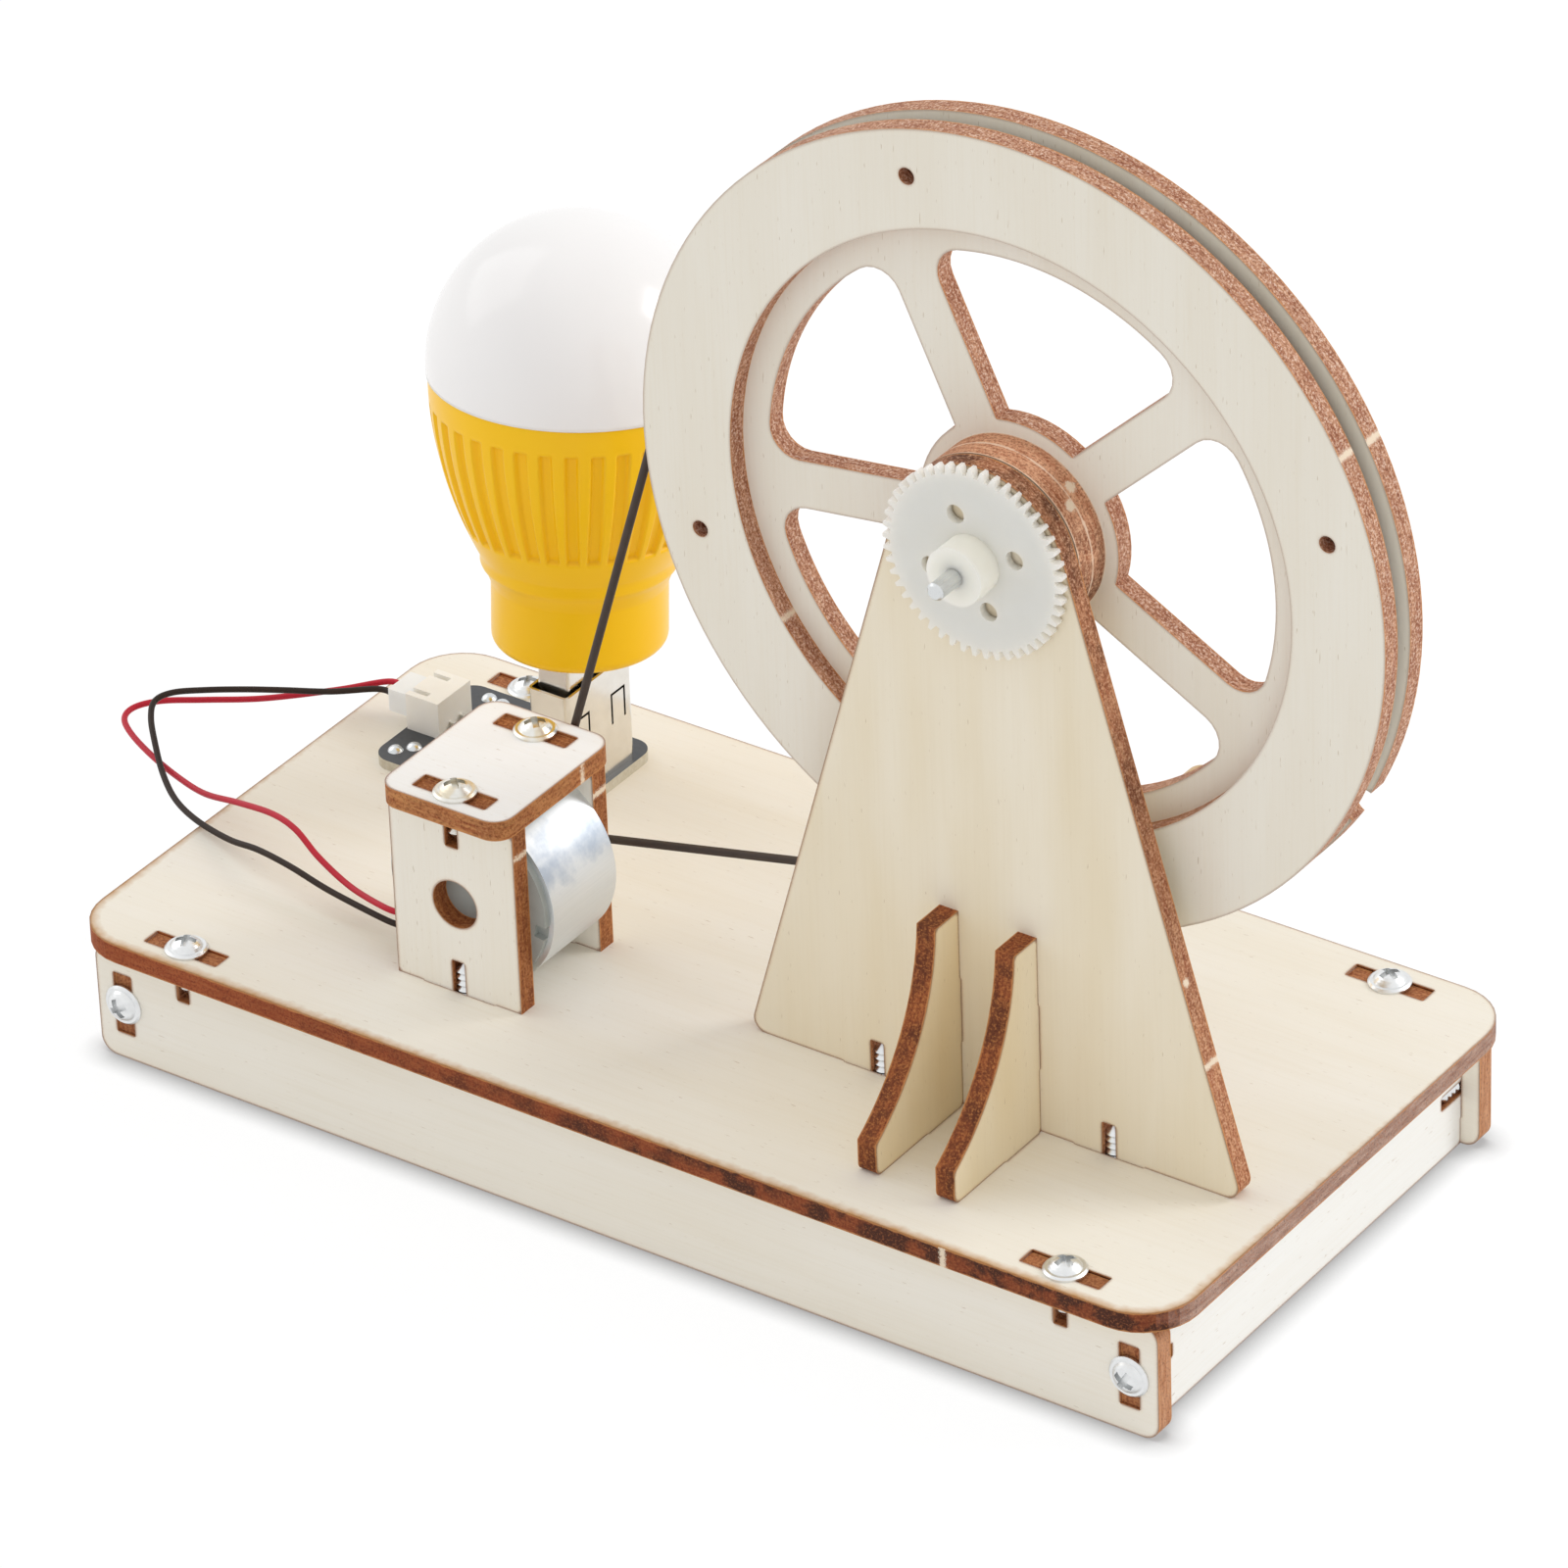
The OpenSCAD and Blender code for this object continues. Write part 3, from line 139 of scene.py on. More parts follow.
def grid_mesh(name, points, wrap_u, wrap_v, material, body, caps=False):
    """A mesh on a grid of points [u, v, xyz]: a quad between each four neighbours, closed round u or v where
    asked, with a flat cap on the first and the last ring along u where asked, smooth shaded, and welded where
    points coincide."""
    nu, nv = points.shape[:2]
    i = np.arange(nu if wrap_u else nu - 1)[:, None]
    j = np.arange(nv if wrap_v else nv - 1)[None, :]
    i1, j1 = (i + 1) % nu, (j + 1) % nv
    faces = np.stack([i * nv + j, i1 * nv + j, i1 * nv + j1, i * nv + j1], -1).reshape(-1, 4).tolist()
    if caps:
        faces += [list(range(nv))[::-1], list(range((nu - 1) * nv, nu * nv))]
    mesh = bpy.data.meshes.new(name)
    mesh.from_pydata(points.reshape(-1, 3), [], faces)
    mesh.polygons.foreach_set("use_smooth", [len(f) == 4 for f in faces])
    welded = bmesh.new()
    welded.from_mesh(mesh)
    bmesh.ops.remove_doubles(welded, verts=welded.verts, dist=1e-7)
    welded.to_mesh(mesh)
    welded.free()
    mesh.materials.append(material)
    piece = bpy.data.objects.new(name, mesh)
    bpy.context.scene.collection.objects.link(piece)
    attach(piece, body)
    return piece


def tube(path, radius, up, closed=False, sides=20):
    """A round tube along a path: at each point a circle square to the path, which starts where its radius is
    also square to the fixed direction up."""
    ahead = np.roll(path, -1, 0) - np.roll(path, 1, 0) if closed else np.gradient(path, axis=0)
    ahead /= np.linalg.norm(ahead, axis=1, keepdims=True)
    side = np.cross(ahead, up)
    side /= np.linalg.norm(side, axis=1, keepdims=True)
    rise = np.cross(side, ahead)
    a = np.linspace(0, 2 * np.pi, sides, endpoint=False)[None, :, None]
    return path[:, None] + radius * (np.cos(a) * side[:, None] + np.sin(a) * rise[:, None])


# Soft PVC cover, extruded: an even colour with a low satin sheen.
red_pvc = moulded("soft_red_pvc", "#C61B34", "#B01329", 0.42, patch=4.0, gleam=0.3)
black_pvc = moulded("soft_black_pvc", "#33241B", "#241913", 0.48, patch=4.0, gleam=0.25)
wire_radius = 0.00045
wire_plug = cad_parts["wire_plug"]
for name, route, length, cover, slot, pieces in (
        ("red_lead", red_route, 0.1169, red_pvc, "red_cover", [wire_plug]),
        ("black_lead", black_route, 0.1066, black_pvc, "black_cover", [])):
    path = smooth_route(route)
    lead = grid_mesh(name, tube(path, wire_radius, (0, 0, 1)), False, True, cover, "base", caps=True)
    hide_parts(name.replace("lead", "wire"))

# Wire plug: a small pale nylon housing, injection moulded, pushed into the cream socket on the board.
# Its thin walls let light through, so it looks milky.


def dress(material, *nodes):
    """Puts a material on CAD nodes, which keep their own meshes."""
    for node in nodes:
        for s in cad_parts[node].material_slots:
            s.material = material


dress(moulded("milky_nylon", "#F3F3F1", "#E9EAE8", 0.35, subsurface=0.4), "wire_plug")

# Base: a board on four upright panels, laser-cut from 3 mm three-layer plywood with pale veneers.
# Tabs pass through mortises, and the laser leaves the edges burnt red-brown with a tan glow on the faces
# beside them.


def plywood(node, across, along, face=("#F5F0E5", "#F1EADB"), edge=("#9C5833", "#C08052"), end=None,
            border="#C98A52", burn=(0.25, 0.25), ash="#BC8254", glow=0.25, corner=None, bridges=()):
    """Laser-cut plywood for one sheet: across is the axis through the sheet, along that of the face grain.

    A face shows two close tones in bands, faint fibres and a few short pores, all drawn out along the grain.
    Within 0.8 mm of a cut, where the solid is thin sideways, it turns tan and then brown. On a flat board
    round the middle of the frame, corner is the corners' radius (mm), and the face is scorched about 1 mm
    deep at the front rim, fading out to the rear.

    An edge shows uneven veneers, fine speckles of ash and soot, thin borders beside the faces and near-black
    burns, which change in strength from one end of the sheet to the other. The end grain, where it has its
    own tones, stays clear of them. bridges are points and half widths (mm) where a small bridge was broken
    off and left the wood pale; None for one axis means all along it."""
    low, high = 1000 * np.array(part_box(node))
    middle = (low + high) / 2
    m = new_material("laser_cut_plywood_" + node)
    coordinates = add(m, "TexCoord")
    place = add(m, "VectorMath", {0: coordinates.outputs["Object"], "Scale": 1000.0}, operation="SCALE")
    axes = add(m, "SeparateXYZ", {0: place})
    normal = add(m, "SeparateXYZ", {0: coordinates.outputs["Normal"]})

    # Noises, each with its length (mm) on one axis and its width (mm) on the other two
    noise = {}
    for name, axis, length, width, detail, roughness in (
            ("band", along, 50.0, 9.0, 2.0, 0.5), ("fibre", along, 14.0, 0.4, 3.0, 0.5),
            ("pore", along, 1.8, 0.25, 1.0, 0.5), ("veneer", across, 0.5, 4.0, 4.0, 0.65),
            ("ragged", along, 1.6, 1.6, 3.0, 0.5), ("speckle", along, 0.38, 0.38, 3.0, 0.75),
            ("soot", along, 5.0, 5.0, 4.0, 0.6)):
        scale = [1 / width] * 3
        scale[axis] = 1 / length
        drawn = add(m, "Mapping", {"Vector": place, "Scale": scale})
        noise[name] = add(m, "TexNoise", {
            "Vector": drawn, "Scale": 1.0, "Detail": detail, "Roughness": roughness})

    # Face: each layer has a value, where it starts, where it is full, how strong it gets and its colour.
    # The glow follows the share of inward directions that meet the cut within 0.8 mm.
    tone = add(m, "MapRange", {"Value": noise["band"], "From Min": 0.3, "From Max": 0.7})
    sheet = add(m, "Mix", {"Factor": tone, "A": linear(face[0]), "B": linear(face[1])}, data_type="RGBA")
    near = add(m, "AmbientOcclusion", {"Distance": 0.0008}, samples=8, inside=True, only_local=True)
    shift = add(m, "MapRange", {"Value": noise["ragged"], "To Min": -0.08, "To Max": 0.08})
    thin = add(m, "Math", {0: near.outputs["AO"], 1: shift}, operation="ADD")
    face_layers = [
        (noise["fibre"], 0.45, 0.80, 0.09, "#D5C29B"),
        (noise["pore"], 0.72, 0.79, 0.45, "#A5875C"),
        (thin, 0.95, 0.60, glow, "#CF9A5E")]
    if corner:
        # How far a point lies from the rectangle between the corners' middles: corner at the rim itself
        folded = add(m, "VectorMath", {0: place}, operation="ABSOLUTE")
        inner = [*(high - low)[:2] / 2 - corner, 0.0]
        past = add(m, "VectorMath", {0: folded, 1: inner}, operation="SUBTRACT")
        flat_past = add(m, "VectorMath", {0: past, 1: (1.0, 1.0, 0.0)}, operation="MULTIPLY")
        outside = add(m, "VectorMath", {0: flat_past, 1: (0.0, 0.0, 0.0)}, operation="MAXIMUM")
        reach = add(m, "VectorMath", {0: outside}, operation="LENGTH")
        fading = add(m, "MapRange", {
            "Value": axes.outputs["Y"], "From Min": low[1], "From Max": high[1], "To Max": -1.5})
        faded = add(m, "Math", {0: reach, 1: fading}, operation="ADD")
        rim = add(m, "Math", {0: noise["ragged"], 1: 1.4, 2: faded}, operation="MULTIPLY_ADD")
        face_layers.append((rim, corner - 1.0, corner + 0.8, 0.9, "#BC8434"))
    face_layers.append((near.outputs["AO"], 0.72, 0.56, 0.3 + 2 * glow, "#7A4523"))

    # Edge: uneven veneers under layers of the same kind, with the end grain apart where it has its own tones
    veneer = add(m, "MapRange", {"Value": noise["veneer"], "From Min": 0.34, "From Max": 0.66})
    side = add(m, "Mix", {"Factor": veneer, "A": linear(edge[0]), "B": linear(edge[1])}, data_type="RGBA")
    strength = add(m, "MapRange", {
        "Value": axes.outputs[along], "From Min": low[along], "From Max": high[along],
        "To Min": burn[0], "To Max": burn[1]})
    if end:
        other = add(m, "Mix", {"Factor": veneer, "A": linear(end[0]), "B": linear(end[1])}, data_type="RGBA")
        endwise = add(m, "Math", {0: normal.outputs[along]}, operation="ABSOLUTE")
        end_grain = add(m, "MapRange", {"Value": endwise, "From Min": 0.70, "From Max": 0.98})
        side = add(m, "Mix", {"Factor": end_grain, "A": side, "B": other}, data_type="RGBA")
        long_grain = add(m, "Math", {0: 1.0, 1: end_grain}, operation="SUBTRACT")
        strength = add(m, "Math", {0: strength, 1: long_grain}, operation="MULTIPLY")
    offset = add(m, "Math", {0: axes.outputs[across], 1: middle[across]}, operation="SUBTRACT")
    depth = add(m, "Math", {0: offset}, operation="ABSOLUTE")
    uneven = add(m, "Math", {0: noise["ragged"], 1: 0.5, 2: depth}, operation="MULTIPLY_ADD")
    scorched = add(m, "MapRange", {"Value": noise["soot"], "From Min": 0.41, "From Max": 0.61, "To Min": 0.2})
    edge_layers = [
        (scorched, 0.0, 1.0, strength, "#3F1D0F"),
        (noise["speckle"], 0.51, 0.64, 0.7, ash),
        (noise["speckle"], 0.49, 0.36, 0.6, "#54250F"),
        (uneven, 1.50, 1.66, 0.75, border)]
    for *spot, half in bridges:
        known = [float(c is not None) for c in spot]
        counted = add(m, "VectorMath", {0: place, 1: known}, operation="MULTIPLY")
        away = add(m, "VectorMath", {0: counted, 1: [c or 0.0 for c in spot]}, operation="DISTANCE")
        torn = add(m, "Math", {0: noise["speckle"], 1: 1.8, 2: away}, operation="MULTIPLY_ADD")
        edge_layers.append((torn, half + 1.05, half + 0.75, 0.9, "#F0DFC6"))

    finished = {}
    for where, shown, layers in (("face", sheet, face_layers), ("edge", side, edge_layers)):
        for value, begin, full, most, colour in layers:
            factor = add(m, "MapRange", {
                "Value": value, "From Min": begin, "From Max": full, "To Max": most})
            shown = add(m, "Mix", {"Factor": factor, "A": shown, "B": linear(colour)}, data_type="RGBA")
        finished[where] = shown

    facing = add(m, "Math", {0: normal.outputs[across]}, operation="ABSOLUTE")
    on_face = add(m, "MapRange", {"Value": facing, "From Min": 0.6, "From Max": 0.8})
    colour = add(m, "Mix", {
        "Factor": on_face, "A": finished["edge"], "B": finished["face"]}, data_type="RGBA")
    gloss = add(m, "MapRange", {"Value": on_face, "To Min": 0.75, "To Max": 0.58})
    grit = add(m, "Math", {0: noise["speckle"], 1: 3.0}, operation="MULTIPLY")
    relief = add(m, "Mix", {"Factor": on_face, "A": grit, "B": noise["fibre"]}, data_type="FLOAT")
    bump = add(m, "Bump", {"Height": relief, "Strength": 0.15, "Distance": 0.00010})
    shader = add(m, "BsdfPrincipled", {
        "Base Color": colour, "Roughness": gloss, "Normal": bump, "Specular IOR Level": 0.3})
    add(m, "OutputMaterial", {"Surface": shader})
    dress(m, node)


# Plywood: pale matt veneer faces with a quiet grain, and rough edges in browns from tan to soot.
x, y, z = 0, 1, 2
bridge_half = 0.45
panel_end = ("#AB6F4A", "#D6A17C")
plywood("top_board", z, x, edge=("#8E3D1A", "#A9592F"), end=("#9A7767", "#C2A595"), burn=(-0.3, 2.2),
        ash="#9A5A33", glow=0.2, corner=8.5, bridges=[(55.9, -44.5, None, bridge_half)])
plywood("front_panel", y, x, end=panel_end)
plywood("rear_panel", y, x, end=panel_end)
plywood("left_end_panel", x, y, face=("#F6F4EE", "#F3F0E8"))
# The right end panel's faces are painted paler: painted light for the softbox that falls full on its side.
plywood("right_end_panel", x, y, face=("#F7F6F2", "#F5F3EE"))

# Base screws: eight small steel screws with a flanged round head and a cross recess, cold headed, with
# rolled threads. They go through the board and the panels into slots, and bright zinc plating gives them
# a cool white shine.


def plated(name, bright, dull, roughness, wear=1.2, drawn=None, tint=None):
    """Plated or drawn metal: two tones in soft patches (wear, mm), or in fine scratches that are drawn out
    along one axis where given, with painted shade in recesses under 0.8 mm wide, and with a coloured bloom in
    patches of 2.4 mm where a tint is given."""
    m = new_material(name)
    place = add(m, "TexCoord").outputs["Object"]
    scale = [1000 / wear] * 3
    if drawn is not None:
        scratch_width, scratch_length = 0.15, 12.0
        scale = [1000 / scratch_width] * 3
        scale[drawn] = 1000 / scratch_length
    stretched = add(m, "Mapping", {"Vector": place, "Scale": scale})
    cloud = add(m, "TexNoise", {"Vector": stretched, "Scale": 1.0, "Detail": 4.0, "Roughness": 0.6})
    tone = add(m, "Mix", {"Factor": cloud, "A": linear(bright), "B": linear(dull)}, data_type="RGBA")
    if tint:
        bloom_and_reflection = add(m, "TexNoise", {"Vector": place, "Scale": 1000 / 2.4, "Detail": 1.0})
        where = add(m, "MapRange", {"Value": bloom_and_reflection, "From Min": 0.5, "From Max": 0.62, "To Max": 0.35})
        tone = add(m, "Mix", {"Factor": where, "A": tone, "B": linear(tint)}, data_type="RGBA")
    # Painted shade: the metal turns grey where nearby surfaces close in within 0.8 mm, in recesses and between
    # threads
    recess_occlusion = add(m, "AmbientOcclusion", {"Distance": 0.0008}, samples=8, only_local=True)
    painted_recess_shade = add(m, "MapRange", {
        "Value": recess_occlusion.outputs["AO"], "From Min": 0.25, "From Max": 0.80, "To Min": 0.25, "To Max": 0.0})
    tone = add(m, "Mix", {"Factor": painted_recess_shade, "A": tone, "B": linear("#6F6F6C")}, data_type="RGBA")
    gloss = add(m, "MapRange", {"Value": cloud, "To Min": roughness - 0.06, "To Max": roughness + 0.08})
    relief = add(m, "Bump", {"Height": cloud, "Strength": 0.1, "Distance": 0.00004})
    shader = add(m, "BsdfPrincipled", {
        "Base Color": tone, "Metallic": 1.0, "Roughness": gloss, "Normal": relief})
    add(m, "OutputMaterial", {"Surface": shader})
    return m


bright_zinc = plated("bright_zinc_plating", "#F1F2F2", "#D9DBDC", 0.30)
dress(bright_zinc, "board_screws", "corner_screws")

# Support: an A-shaped plate that carries the flywheel's axle, stiffened by two curved gussets.
# All three are cut from the same plywood, a little more honey-coloured, and stand on tabs in the board.
# Two screws pull the plate down.
plywood("support_frame", y, z, face=("#F2E9D6", "#ECDFC4"), edge=("#A5613F", "#CF956C"), burn=(0.0, 0.85),
        ash="#DDB08E", bridges=[(74.51, -14.0, 51.8, 0.6), (77.93, None, 40.2, bridge_half)])
for node, honey in (("left_gusset", ("#F4E6C8", "#EEDBB4")), ("right_gusset", ("#F1E4C9", "#EBDAB7"))):
    plywood(node, x, z, face=honey, edge=("#803B1B", "#B06435"), burn=(0.8, 0.65), ash="#BC7840")
dress(bright_zinc, "support_screws")

# Flywheel: a spoked disc between two wider rings, which make the belt's groove, and two hub discs in front
# of it. Three screws and the crank's screw hold the stack together from the rear.
wheel_face = ("#F0EBDF", "#ECE5D6")
for node, burn, bridges in (
        ("front_ring", 0.06, [(94.9, None, 134.1, bridge_half), (7.9, None, 83.0, bridge_half)]),
        ("spoked_disc", 0.1, []),
        ("rear_ring", 0.06, [(95.1, None, 133.6, bridge_half)])):
    plywood(node, y, z, face=wheel_face, edge=("#A06246", "#D09B79"), burn=(burn, 0.06), ash="#F0D8C4",
            glow=0.08, bridges=bridges)
for node, bridge in (
        ("front_hub_disc", (54.76, -9.4, 115.45, 0.8)),
        ("rear_hub_disc", (53.51, -7.4, 116.84, 0.8))):
    plywood(node, y, z, face=wheel_face, edge=("#B8724E", "#E4AE88"), border="#F0D6BC", burn=(1.1, 0.0),
            ash="#E6BC98", bridges=[bridge])
dress(bright_zinc, "ring_screws")

# Axle and gear: a drawn steel pin, pressed into the flywheel's hub, turns in the support.
# A moulded nylon gear of 48 teeth is pushed on its front end as a stop; the resin is milky and half clear.
dress(plated("drawn_bright_steel", "#ECEEEE", "#C6C9CA", 0.28, drawn=y), "axle")
nylon = moulded("milky_gear_nylon", "#FBF6EA", "#F7F1E3", 0.34, patch=5.0, subsurface=0.8, reach=4.0)
dress(nylon, "retaining_gear")

# Crank: a turned wooden knob runs loose on a long screw through the flywheel's rim, on the rear side.
# It is plain beech, sanded and left bare.


def turned_wood(name, along):
    """Turned light wood: growth lines 0.8 mm apart, drawn out to 16 mm along one axis, with fine pores."""
    m = new_material(name)
    place = add(m, "TexCoord").outputs["Object"]
    scale = [1000 / 0.8] * 3
    scale[along] = 1000 / 16.0
    drawn = add(m, "Mapping", {"Vector": place, "Scale": scale})
    grain = add(m, "TexNoise", {"Vector": drawn, "Scale": 1.0, "Detail": 5.0, "Roughness": 0.65})
    tone = add(m, "Mix", {"Factor": grain, "A": linear("#E3C99B"), "B": linear("#BF9560")}, data_type="RGBA")
    bump = add(m, "Bump", {"Height": grain, "Strength": 0.3, "Distance": 0.0001})
    shader = add(m, "BsdfPrincipled", {"Base Color": tone, "Roughness": 0.5, "Normal": bump})
    add(m, "OutputMaterial", {"Surface": shader})
    return m


dress(turned_wood("turned_beech", y), "crank_knob")
dress(bright_zinc, "crank_screw")

# Motor box: two plywood plates stand in the board, and a third is screwed on top of them.
# The plates hold the motor by its front and rear faces, and the top screws have a straw-coloured bloom.
for node, bridge in (
        ("motor_front_plate", (-23.5, None, 45.7, bridge_half)),
        ("motor_rear_plate", (-23.3, None, 46.1, bridge_half))):
    plywood(node, y, z, face=("#F4EFE4", "#F0E9DA"), edge=("#86441F", "#B8733E"), bridges=[bridge])
# The top plate's faces are painted near white: painted light for the lamps on its upward face.
plywood("motor_top_plate", z, x, face=("#FBFAF8", "#F9F8F5"), edge=("#A2582F", "#D09258"),
        bridges=[(-23.0, -12.6, None, bridge_half)])
dress(plated("straw_zinc_plating", "#F1F0EB", "#DAD8D0", 0.30, tint="#D9BC78"), "motor_top_screws")
dress(bright_zinc, "motor_base_screws")

# Motor: a small direct-current motor in a drawn steel can, closed in front by a moulded grey cap.
# Two magnets line the can, three wound poles turn between them, and the tabs take the wires.


def bare_steel(name):
    """A drawn can of bright steel: brushed along its axis in lines 0.15 mm wide and 8 mm long, with a painted
    blue-grey reflection in patches of 4 mm on its shoulders, where the surface faces half upwards."""
    m = new_material(name)
    coordinates = add(m, "TexCoord")
    place = coordinates.outputs["Object"]
    brushed = add(m, "Mapping", {"Vector": place, "Scale": (1000 / 0.15, 1000 / 8.0, 1000 / 0.15)})
    lines = add(m, "TexNoise", {"Vector": brushed, "Scale": 1.0, "Detail": 3.0})
    cloud = add(m, "TexNoise", {"Vector": place, "Scale": 1000 / 4.0, "Detail": 4.0, "Roughness": 0.6})
    tone = add(m, "Mix", {"Factor": lines, "A": linear("#E9ECEE"), "B": linear("#DCE0E3")}, data_type="RGBA")
    normal = add(m, "SeparateXYZ", {0: coordinates.outputs["Normal"]})
    # Painted reflection: a blue-grey band on the shoulders, where the surface faces half upwards, broken into
    # patches
    up = add(m, "Math", {0: normal.outputs["Z"], 1: 0.50}, operation="SUBTRACT")
    from_reflection_band = add(m, "Math", {0: up}, operation="ABSOLUTE")
    uneven = add(m, "Math", {0: cloud, 1: -0.9, 2: from_reflection_band}, operation="MULTIPLY_ADD")
    bloom_and_reflection = add(m, "MapRange", {"Value": uneven, "From Min": -0.22, "From Max": -0.50, "To Max": 0.75})
    tone = add(m, "Mix", {"Factor": bloom_and_reflection, "A": tone, "B": linear("#AEBBCB")}, data_type="RGBA")
    gloss = add(m, "MapRange", {"Value": cloud, "To Min": 0.40, "To Max": 0.56})
    relief = add(m, "Bump", {"Height": lines, "Strength": 0.08, "Distance": 0.00003})
    shader = add(m, "BsdfPrincipled", {
        "Base Color": tone, "Metallic": 1.0, "Roughness": gloss, "Normal": relief})
    add(m, "OutputMaterial", {"Surface": shader})
    return m


# A soft bright can and satin grey nylon outside; inside, dull black ferrite, grey stacked sheets and glossy
# copper; a shiny ground shaft and yellow brass tabs.
dress(bare_steel("bright_steel_can"), "motor_can")
dress(moulded("grey_cap_nylon", "#A7ABA7", "#949994", 0.45), "motor_end_cap")
dress(moulded("sintered_ferrite", "#3A3A3C", "#2A2A2C", 0.7, peel=0.4), "motor_magnets")
dress(plated("stacked_stampings", "#8F9294", "#6C6F72", 0.4, drawn=x), "motor_armature")
dress(plated("enamelled_copper", "#C9743E", "#A4552A", 0.3, drawn=z), "motor_coils")
dress(plated("ground_shaft_steel", "#DDE0E1", "#B6B9BB", 0.2, drawn=y), "motor_shaft")
dress(plated("stamped_brass", "#D8BE7C", "#B59653", 0.3), "motor_terminals")

# Belt drive: a moulded pulley on the motor's shaft and an endless round rubber cord in the flywheel's groove.
# The rubber is matt and nearly black, with a brown cast.
dress(nylon, "drive_pulley")
belt_radius, belt_y = 0.0006, -0.0042
wheel_x, wheel_z, wheel_wrap = 0.0442, 0.1072, 0.0550
motor_x, motor_z, motor_wrap = -0.0337, 0.03525, 0.0019


def belt_path(big_steps=160, run_steps=48, small_steps=40):
    """The closed middle line of the belt: an arc round the flywheel, a straight run, an arc round the pulley
    and a straight run back. Both runs touch both circles, so their normals lie at the angle whose cosine is
    the difference of the radii over the distance of the axes."""
    dx, dz = motor_x - wheel_x, motor_z - wheel_z
    lie = np.arctan2(dz, dx)
    open_angle = np.arccos((wheel_wrap - motor_wrap) / np.hypot(dx, dz))
    big = np.linspace(lie + open_angle, lie - open_angle + 2 * np.pi, big_steps)
    small = np.linspace(lie - open_angle, lie + open_angle, small_steps)
    arc_big = np.stack([wheel_x + wheel_wrap * np.cos(big), wheel_z + wheel_wrap * np.sin(big)], 1)
    arc_small = np.stack([motor_x + motor_wrap * np.cos(small), motor_z + motor_wrap * np.sin(small)], 1)
    t = np.linspace(0, 1, run_steps + 2)[1:-1, None]
    there = arc_big[-1] + t * (arc_small[0] - arc_big[-1])
    back = arc_small[-1] + t * (arc_big[0] - arc_small[-1])
    line = np.vstack([arc_big, there, arc_small, back])
    return np.stack([line[:, 0], np.full(len(line), belt_y), line[:, 1]], 1)


rubber = moulded("matt_brown_rubber", "#453830", "#352A24", 0.62, patch=2.5, peel=0.2)
belt_tube = tube(belt_path(), belt_radius, (0, 1, 0), closed=True)
belt = grid_mesh("round_belt", belt_tube, True, True, rubber, "base")
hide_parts("drive_belt")

# Converter: a small circuit board of black lacquered glass laminate, which lies flat on the top board.
# A cream wire socket, its tinned pins and a nickel-plated upright socket are soldered to it.


def circuit_laminate(name, thick_axis):
    """Printed circuit board: glossy dark lacquer with a faint weave of 0.6 mm on the flat sides, and pale raw
    laminate on the cut edges."""
    m = new_material(name)
    coordinates = add(m, "TexCoord")
    place = coordinates.outputs["Object"]
    weave = add(m, "TexNoise", {"Vector": place, "Scale": 1000 / 0.6, "Detail": 2.0})
    tones = {}
    for where, light, dark in (("lacquer", "#46494D", "#33363A"), ("raw", "#D8D2C2", "#B5A98E")):
        tones[where] = add(m, "Mix", {
            "Factor": weave, "A": linear(light), "B": linear(dark)}, data_type="RGBA")
    normal = add(m, "SeparateXYZ", {0: coordinates.outputs["Normal"]})
    flat = add(m, "Math", {0: normal.outputs[thick_axis]}, operation="ABSOLUTE")
    on_face = add(m, "MapRange", {"Value": flat, "From Min": 0.5, "From Max": 0.7})
    colour = add(m, "Mix", {"Factor": on_face, "A": tones["raw"], "B": tones["lacquer"]}, data_type="RGBA")
    gloss = add(m, "MapRange", {"Value": on_face, "To Min": 0.6, "To Max": 0.30})
    bump = add(m, "Bump", {"Height": weave, "Strength": 0.15, "Distance": 0.00004})
    shader = add(m, "BsdfPrincipled", {"Base Color": colour, "Roughness": gloss, "Normal": bump})
    add(m, "OutputMaterial", {"Surface": shader})
    return m


# Glossy near-black lacquer, bright solder and tin, satin cream and white nylon, and warm mirror-like nickel.
dress(circuit_laminate("black_circuit_laminate", z), "circuit_board")
dress(plated("bright_solder", "#E6E9EA", "#C4C8CA", 0.25, wear=0.6), "solder_joints")
dress(moulded("cream_socket_nylon", "#F8F4EB", "#F2ECE0", 0.42, subsurface=0.2), "wire_socket")
dress(plated("tinned_pins", "#F2F2EF", "#D6D6D1", 0.22), "socket_pins")
nickel = plated("nickel_plating", "#EFEBE4", "#DDD7CD", 0.18, wear=2.5)
dress(nickel, "usb_socket_shell", "usb_plug_shell")
white_insert = moulded("white_insert_nylon", "#EDEBE4", "#DCDAD2", 0.45)
dress(white_insert, "usb_socket_insert", "usb_plug_insert")

# Lamp: a plug-in lamp in the upright socket, with a satin yellow moulded body that is slotted all round.
# A white lacquered plate with light chips sits in its cup, under a blown opal dome.
lean_left, lean_rear = math.radians(1.5), math.radians(6.0)
lamp_axis = np.array((-math.sin(lean_left) * math.cos(lean_rear), math.sin(lean_rear),
                      math.cos(lean_left) * math.cos(lean_rear)))
socket_mouth, bare_plug = np.array((-0.0506, 0.0237, 0.03525)), 0.0089
lamp_foot = socket_mouth + bare_plug * lamp_axis
lamp_right = np.array((1.0, 0.0, 0.0)) - lamp_axis[0] * lamp_axis
lamp_right /= np.linalg.norm(lamp_right)
lamp_rear = np.cross(lamp_axis, lamp_right)


def turned(outline, angle):
    """Points of a body of revolution on the lamp's axis, [angle, outline, xyz] in metres: the foot, plus the
    height along the axis, plus the radius in the direction of the angle. The outline holds radii and heights
    (mm), one row for all angles or one for each."""
    out = np.cos(angle)[:, None, None] * lamp_right + np.sin(angle)[:, None, None] * lamp_rear
    return lamp_foot + (outline[..., 1:] * lamp_axis + outline[..., :1] * out) / 1000


